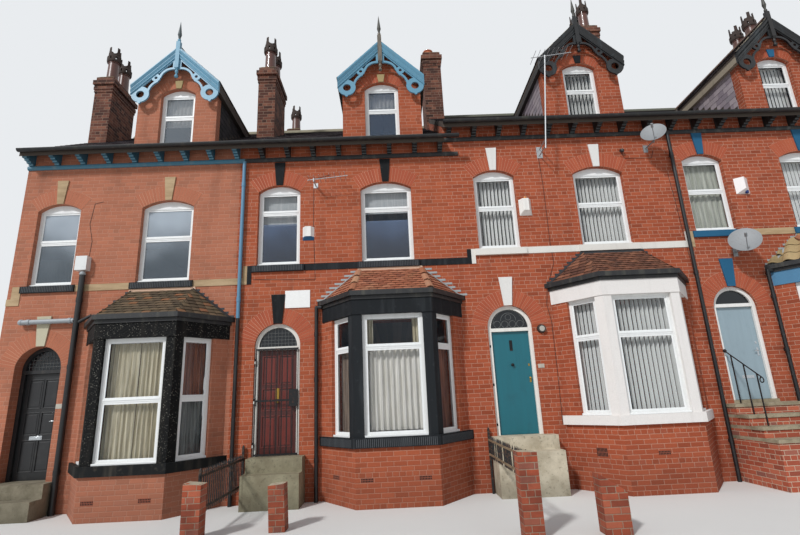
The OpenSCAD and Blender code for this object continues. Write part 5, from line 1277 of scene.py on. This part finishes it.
# Lead tracery before the fanlights, and old gate hooks on the second and third frames
MESH_PITCH = 0.07
tracery, hooks = Shape(), Shape()


def bow(centre, radius, a0, a1, steps=14):
    """Points of an upright arc round a centre, between two angles in degrees."""
    turns = [math.radians(a0 + (a1 - a0) * k / steps) for k in range(steps + 1)]
    return [centre + Vector((radius * math.cos(t), 0, radius * math.sin(t))) for t in turns]


for i in (0, 1, 2):
    r = DOOR_R - DOOR_FRAME - 0.012
    centre = at_front(i, DOOR_X, DOOR_Y[i] + 0.036, FLOOR_Z + DOOR_CROWN - DOOR_R)
    if i == 2:
        rounds = [(x, 0.087, 0.07, -90, 250, 20) for x in (-0.24, -0.08, 0.08, 0.24)]
        rounds += [(0, 0.162, 0.16, 0, 180), (0, 0.052, r - 0.06, 8, 172), (0, 0.232, 0.06, 0, 360, 18)]
        for x, z, *sizes in rounds:
            tracery.tube(bow(centre + Vector((x, 0, z)), *sizes), 0.0045, 6)
    else:
        for k in range(-5, 6):
            x = k * MESH_PITCH
            top = math.sqrt((r - 0.01) ** 2 - x * x)
            tracery.tube([(x, 0, 0.012), (x, 0, top)], 0.0035, 6, move(centre))
        for k in range(1, 5):
            z = k * MESH_PITCH
            half = math.sqrt((r - 0.01) ** 2 - z * z)
            tracery.tube([(-half, 0, z), (half, 0, z)], 0.0035, 6, move(centre))
    for up in (0.18, 0.95, 1.72) if i else ():
        hooks.box((0, 0.028), (-0.007, 0.001), (0, 0.05),
                  move((LINE[i] + DOOR_X - DOOR_W / 2 + 0.018, DOOR_Y[i], door_z(i) + up)))
put("fanlight_tracery", tracery, metal("lead_bars", "6f7271", 0.2, 0.6), smooth=True)
put("frame_hooks", hooks, black_iron, bevel=0.002)

# Air bricks in the bay plinths: a thin frame, two rows of ribs and a dark back
VENT_HALF, VENT_H = 0.1075, 0.073
vents, vent_backs = Shape(), Shape()


def air_brick(m, high=VENT_H):
    for z in ((0, 0.007), (high - 0.007, high), (high / 2 - 0.004, high / 2 + 0.004)):
        vents.box((-VENT_HALF, VENT_HALF), (-0.004, 0.002), z, m)
    for k in range(9):
        x = VENT_HALF * (k / 4 - 1)
        sides = max(-VENT_HALF, x - 0.0045), min(VENT_HALF, x + 0.0045)
        vents.box(sides, (-0.0035, 0.002), (0.006, high - 0.006), m)
    vent_backs.box((0.001 - VENT_HALF, VENT_HALF - 0.001), (-0.0012, 0.001), (0.001, high - 0.001), m)


for i, x, down in ((0, -0.55, 0.42), (0, 0.43, 0.42), (1, -0.545, 0.53), (1, 0.475, 0.53), (2, -0.07, 0.49),
                   (3, 0.3, 0.5), (3, -0.5, 0.5)):
    air_brick(move(at_bay(i, x, -BAY_OUT, BAY_SILL - BAY_SILL_H - down - 0.036)))
for i, along, down, high in ((1, 0.48, 0.53, VENT_H), (2, 0.66, 0.52, 0.157)):
    shift = BAY_POST + CANT_WIN / 2 + along - CANT_L
    air_brick(cant_matrix(i, -1, 0.0) @ move((shift, 0, -BAY_SILL_H - down - 0.036)), high)
put("air_bricks", vents, lime("vent_terracotta", "8b4d3a"), bevel=0.0008)
put("air_brick_holes", vent_backs, metal("vent_dark", "0f0d0c", 0.0, 0.9))

# Bare board and plates on the walls
board = Shape().box((-4.037, -3.515), (-0.014, 0.0), (3.73, 4.10))
put("letting_board_bare", board, painted("board_white", "f0f0ee", 0.35, "aaa79f", 0.1), bevel=0.002)
plates = Shape()
plates.box((1.11, 1.24), (-0.008, 0.0), (2.29, 2.37))
plates.box((-8.51, -8.39), (-0.006, 0.0), (1.91, 2.00))
put("wall_plates_bare", plates, painted("plate_enamel", "b9b4a8", 0.3, "5d5346", 0.4), bevel=0.002)

# Wires clipped along the walls, as runs of X and Z
CLIP_PITCH = 0.25
wires, clips = Shape(), Shape()
for run in ([(1.667, 7.05), (1.692, 6.305), (1.688, 5.676), (1.681, 4.967), (1.704, 4.474), (1.498, 3.955),
             (1.443, 3.583), (1.499, 3.212), (1.491, 2.233), (1.469, 1.176)],
            [(3.591, 7.02), (3.639, 6.888), (4.261, 6.868), (4.329, 7.06)],
            [(-3.075, 6.733), (-3.442, 6.641), (-3.451, 5.553), (-3.41, 4.319), (-4.723, 4.373)],
            [(-8.065, 6.281), (-8.25, 6.239), (-8.309, 5.768), (-8.213, 5.373), (-8.234, 5.02)],
            [(4.56, 6.474), (4.605, 5.672), (4.64, 4.85), (4.704, 3.962), (4.766, 3.673)]):
    path = []
    for (xa, za), (xb, zb) in zip(run, run[1:]):
        steps = max(1, int(math.dist((xa, za), (xb, zb)) / CLIP_PITCH))
        part = [(xa + (xb - xa) * k / steps, za + (zb - za) * k / steps) for k in range(steps)]
        path += part
        for x, z in part[1:]:
            clips.box((x - 0.006, x + 0.006), (-0.0095, 0.0), (z - 0.004, z + 0.004))
    wires.tube([(x, -0.004, z) for x, z in path + run[-1:]], 0.0045, 6)
put("wall_wires", wires, painted("wire_black", "1a1a1a", 0.5), smooth=True)
put("wire_clips", clips, painted("clip_black", "222223", 0.5))

# Pickets between those of the yard railings
PICKET_PITCH, TIP_H = 0.17, 0.06
pickets = Shape()
for x, foot, tip, count in ((LINE[1] + 0.03, 0.29, 0.93, 12), (LINE[2] - 0.025, 0.64, 1.05, 16)):
    high = tip - foot - TIP_H
    for k in range(count):
        pickets.lathe([(0.009, 0), (0.009, high), (0.016, high), (0.002, high + TIP_H)],
                      move((x, -0.145 - k * PICKET_PITCH, foot)), 10)
put("yard_pickets", pickets, yard_iron, smooth=True)

# Lamps of the alarm boxes
for label, code, at, profile in (
        ("amber", "d9822b", (LINE[2] + 1.23, -0.072, 5.955),
         [(0.03, -0.004), (0.03, 0.03), (0.024, 0.046), (0.01, 0.052)]),
        ("blue", "1c2f6b", (LINE[3] + 1.43, -0.045, 5.93),
         [(0.036, 0.03), (0.036, -0.014), (0.026, -0.03), (0.01, -0.036)])):
    put("alarm_lamp_" + label, Shape().lathe(profile, move(at), 16), painted("lens_" + label, code, 0.15),
        smooth=True)

# Camera, sun, sky and floor
scene = bpy.context.scene
lens = bpy.data.cameras.new("main_view")
lens.lens, lens.sensor_width, lens.sensor_fit = 21.71, 36.0, "HORIZONTAL"
scene.camera = link("main_view", lens)
yaw, pitch, roll = -1.138, 15.065, -2.576
scene.camera.matrix_world = move((-1.799, -9.959, 1.832))
for angle, axis in ((yaw, "Z"), (90.0 + pitch, "X"), (roll, "Z")):
    scene.camera.matrix_world = scene.camera.matrix_world @ Matrix.Rotation(math.radians(angle), 4, axis)

lamp = bpy.data.lights.new("sun", "SUN")
lamp.energy, lamp.angle = 2.35, math.radians(6)
link("sun", lamp).matrix_world = Vector((-0.46, -0.62, 0.63)).to_track_quat("Z", "Y").to_matrix().to_4x4()

# The sky lights the row with one tone, and is seen in another one, in mirrors and through panes too
world = scene.world = bpy.data.worlds.new("studio")
world.use_nodes = True
tree = world.node_tree
tree.nodes.clear()
sky, seen = [add_node(tree, "ShaderNodeBackground", {"Color": colour(code), "Strength": strength}).outputs[0]
             for code, strength in (("eef3fb", 0.52), ("e9ecef", 1.0))]
rays = tree.nodes.new("ShaderNodeLightPath").outputs
shown = rays["Is Camera Ray"]
for ray in ("Is Glossy Ray", "Is Transmission Ray"):
    shown = add_node(tree, "ShaderNodeMath", {0: shown, 1: rays[ray]}, operation="MAXIMUM").outputs[0]
blend = add_node(tree, "ShaderNodeMixShader", {0: shown, 1: sky, 2: seen})
add_node(tree, "ShaderNodeOutputWorld", {"Surface": blend.outputs[0]})

REACH = 60.0
floor_mesh = bpy.data.meshes.new("studio_floor")
floor_mesh.from_pydata([(-REACH, -REACH, 0), (REACH, -REACH, 0), (REACH, REACH, 0), (-REACH, REACH, 0)], [],
                       [(0, 1, 2, 3)])
floor_paint = Paint("studio_floor")
floor_mesh.materials.append(
    floor_paint.done(floor_paint.shade(colour("dcdcd9"), 0.97 + floor_paint.noise(0.6, 2.0) * 0.06), 0.9))
floor = link("studio_floor", floor_mesh)
scene.view_settings.view_transform = "Standard"
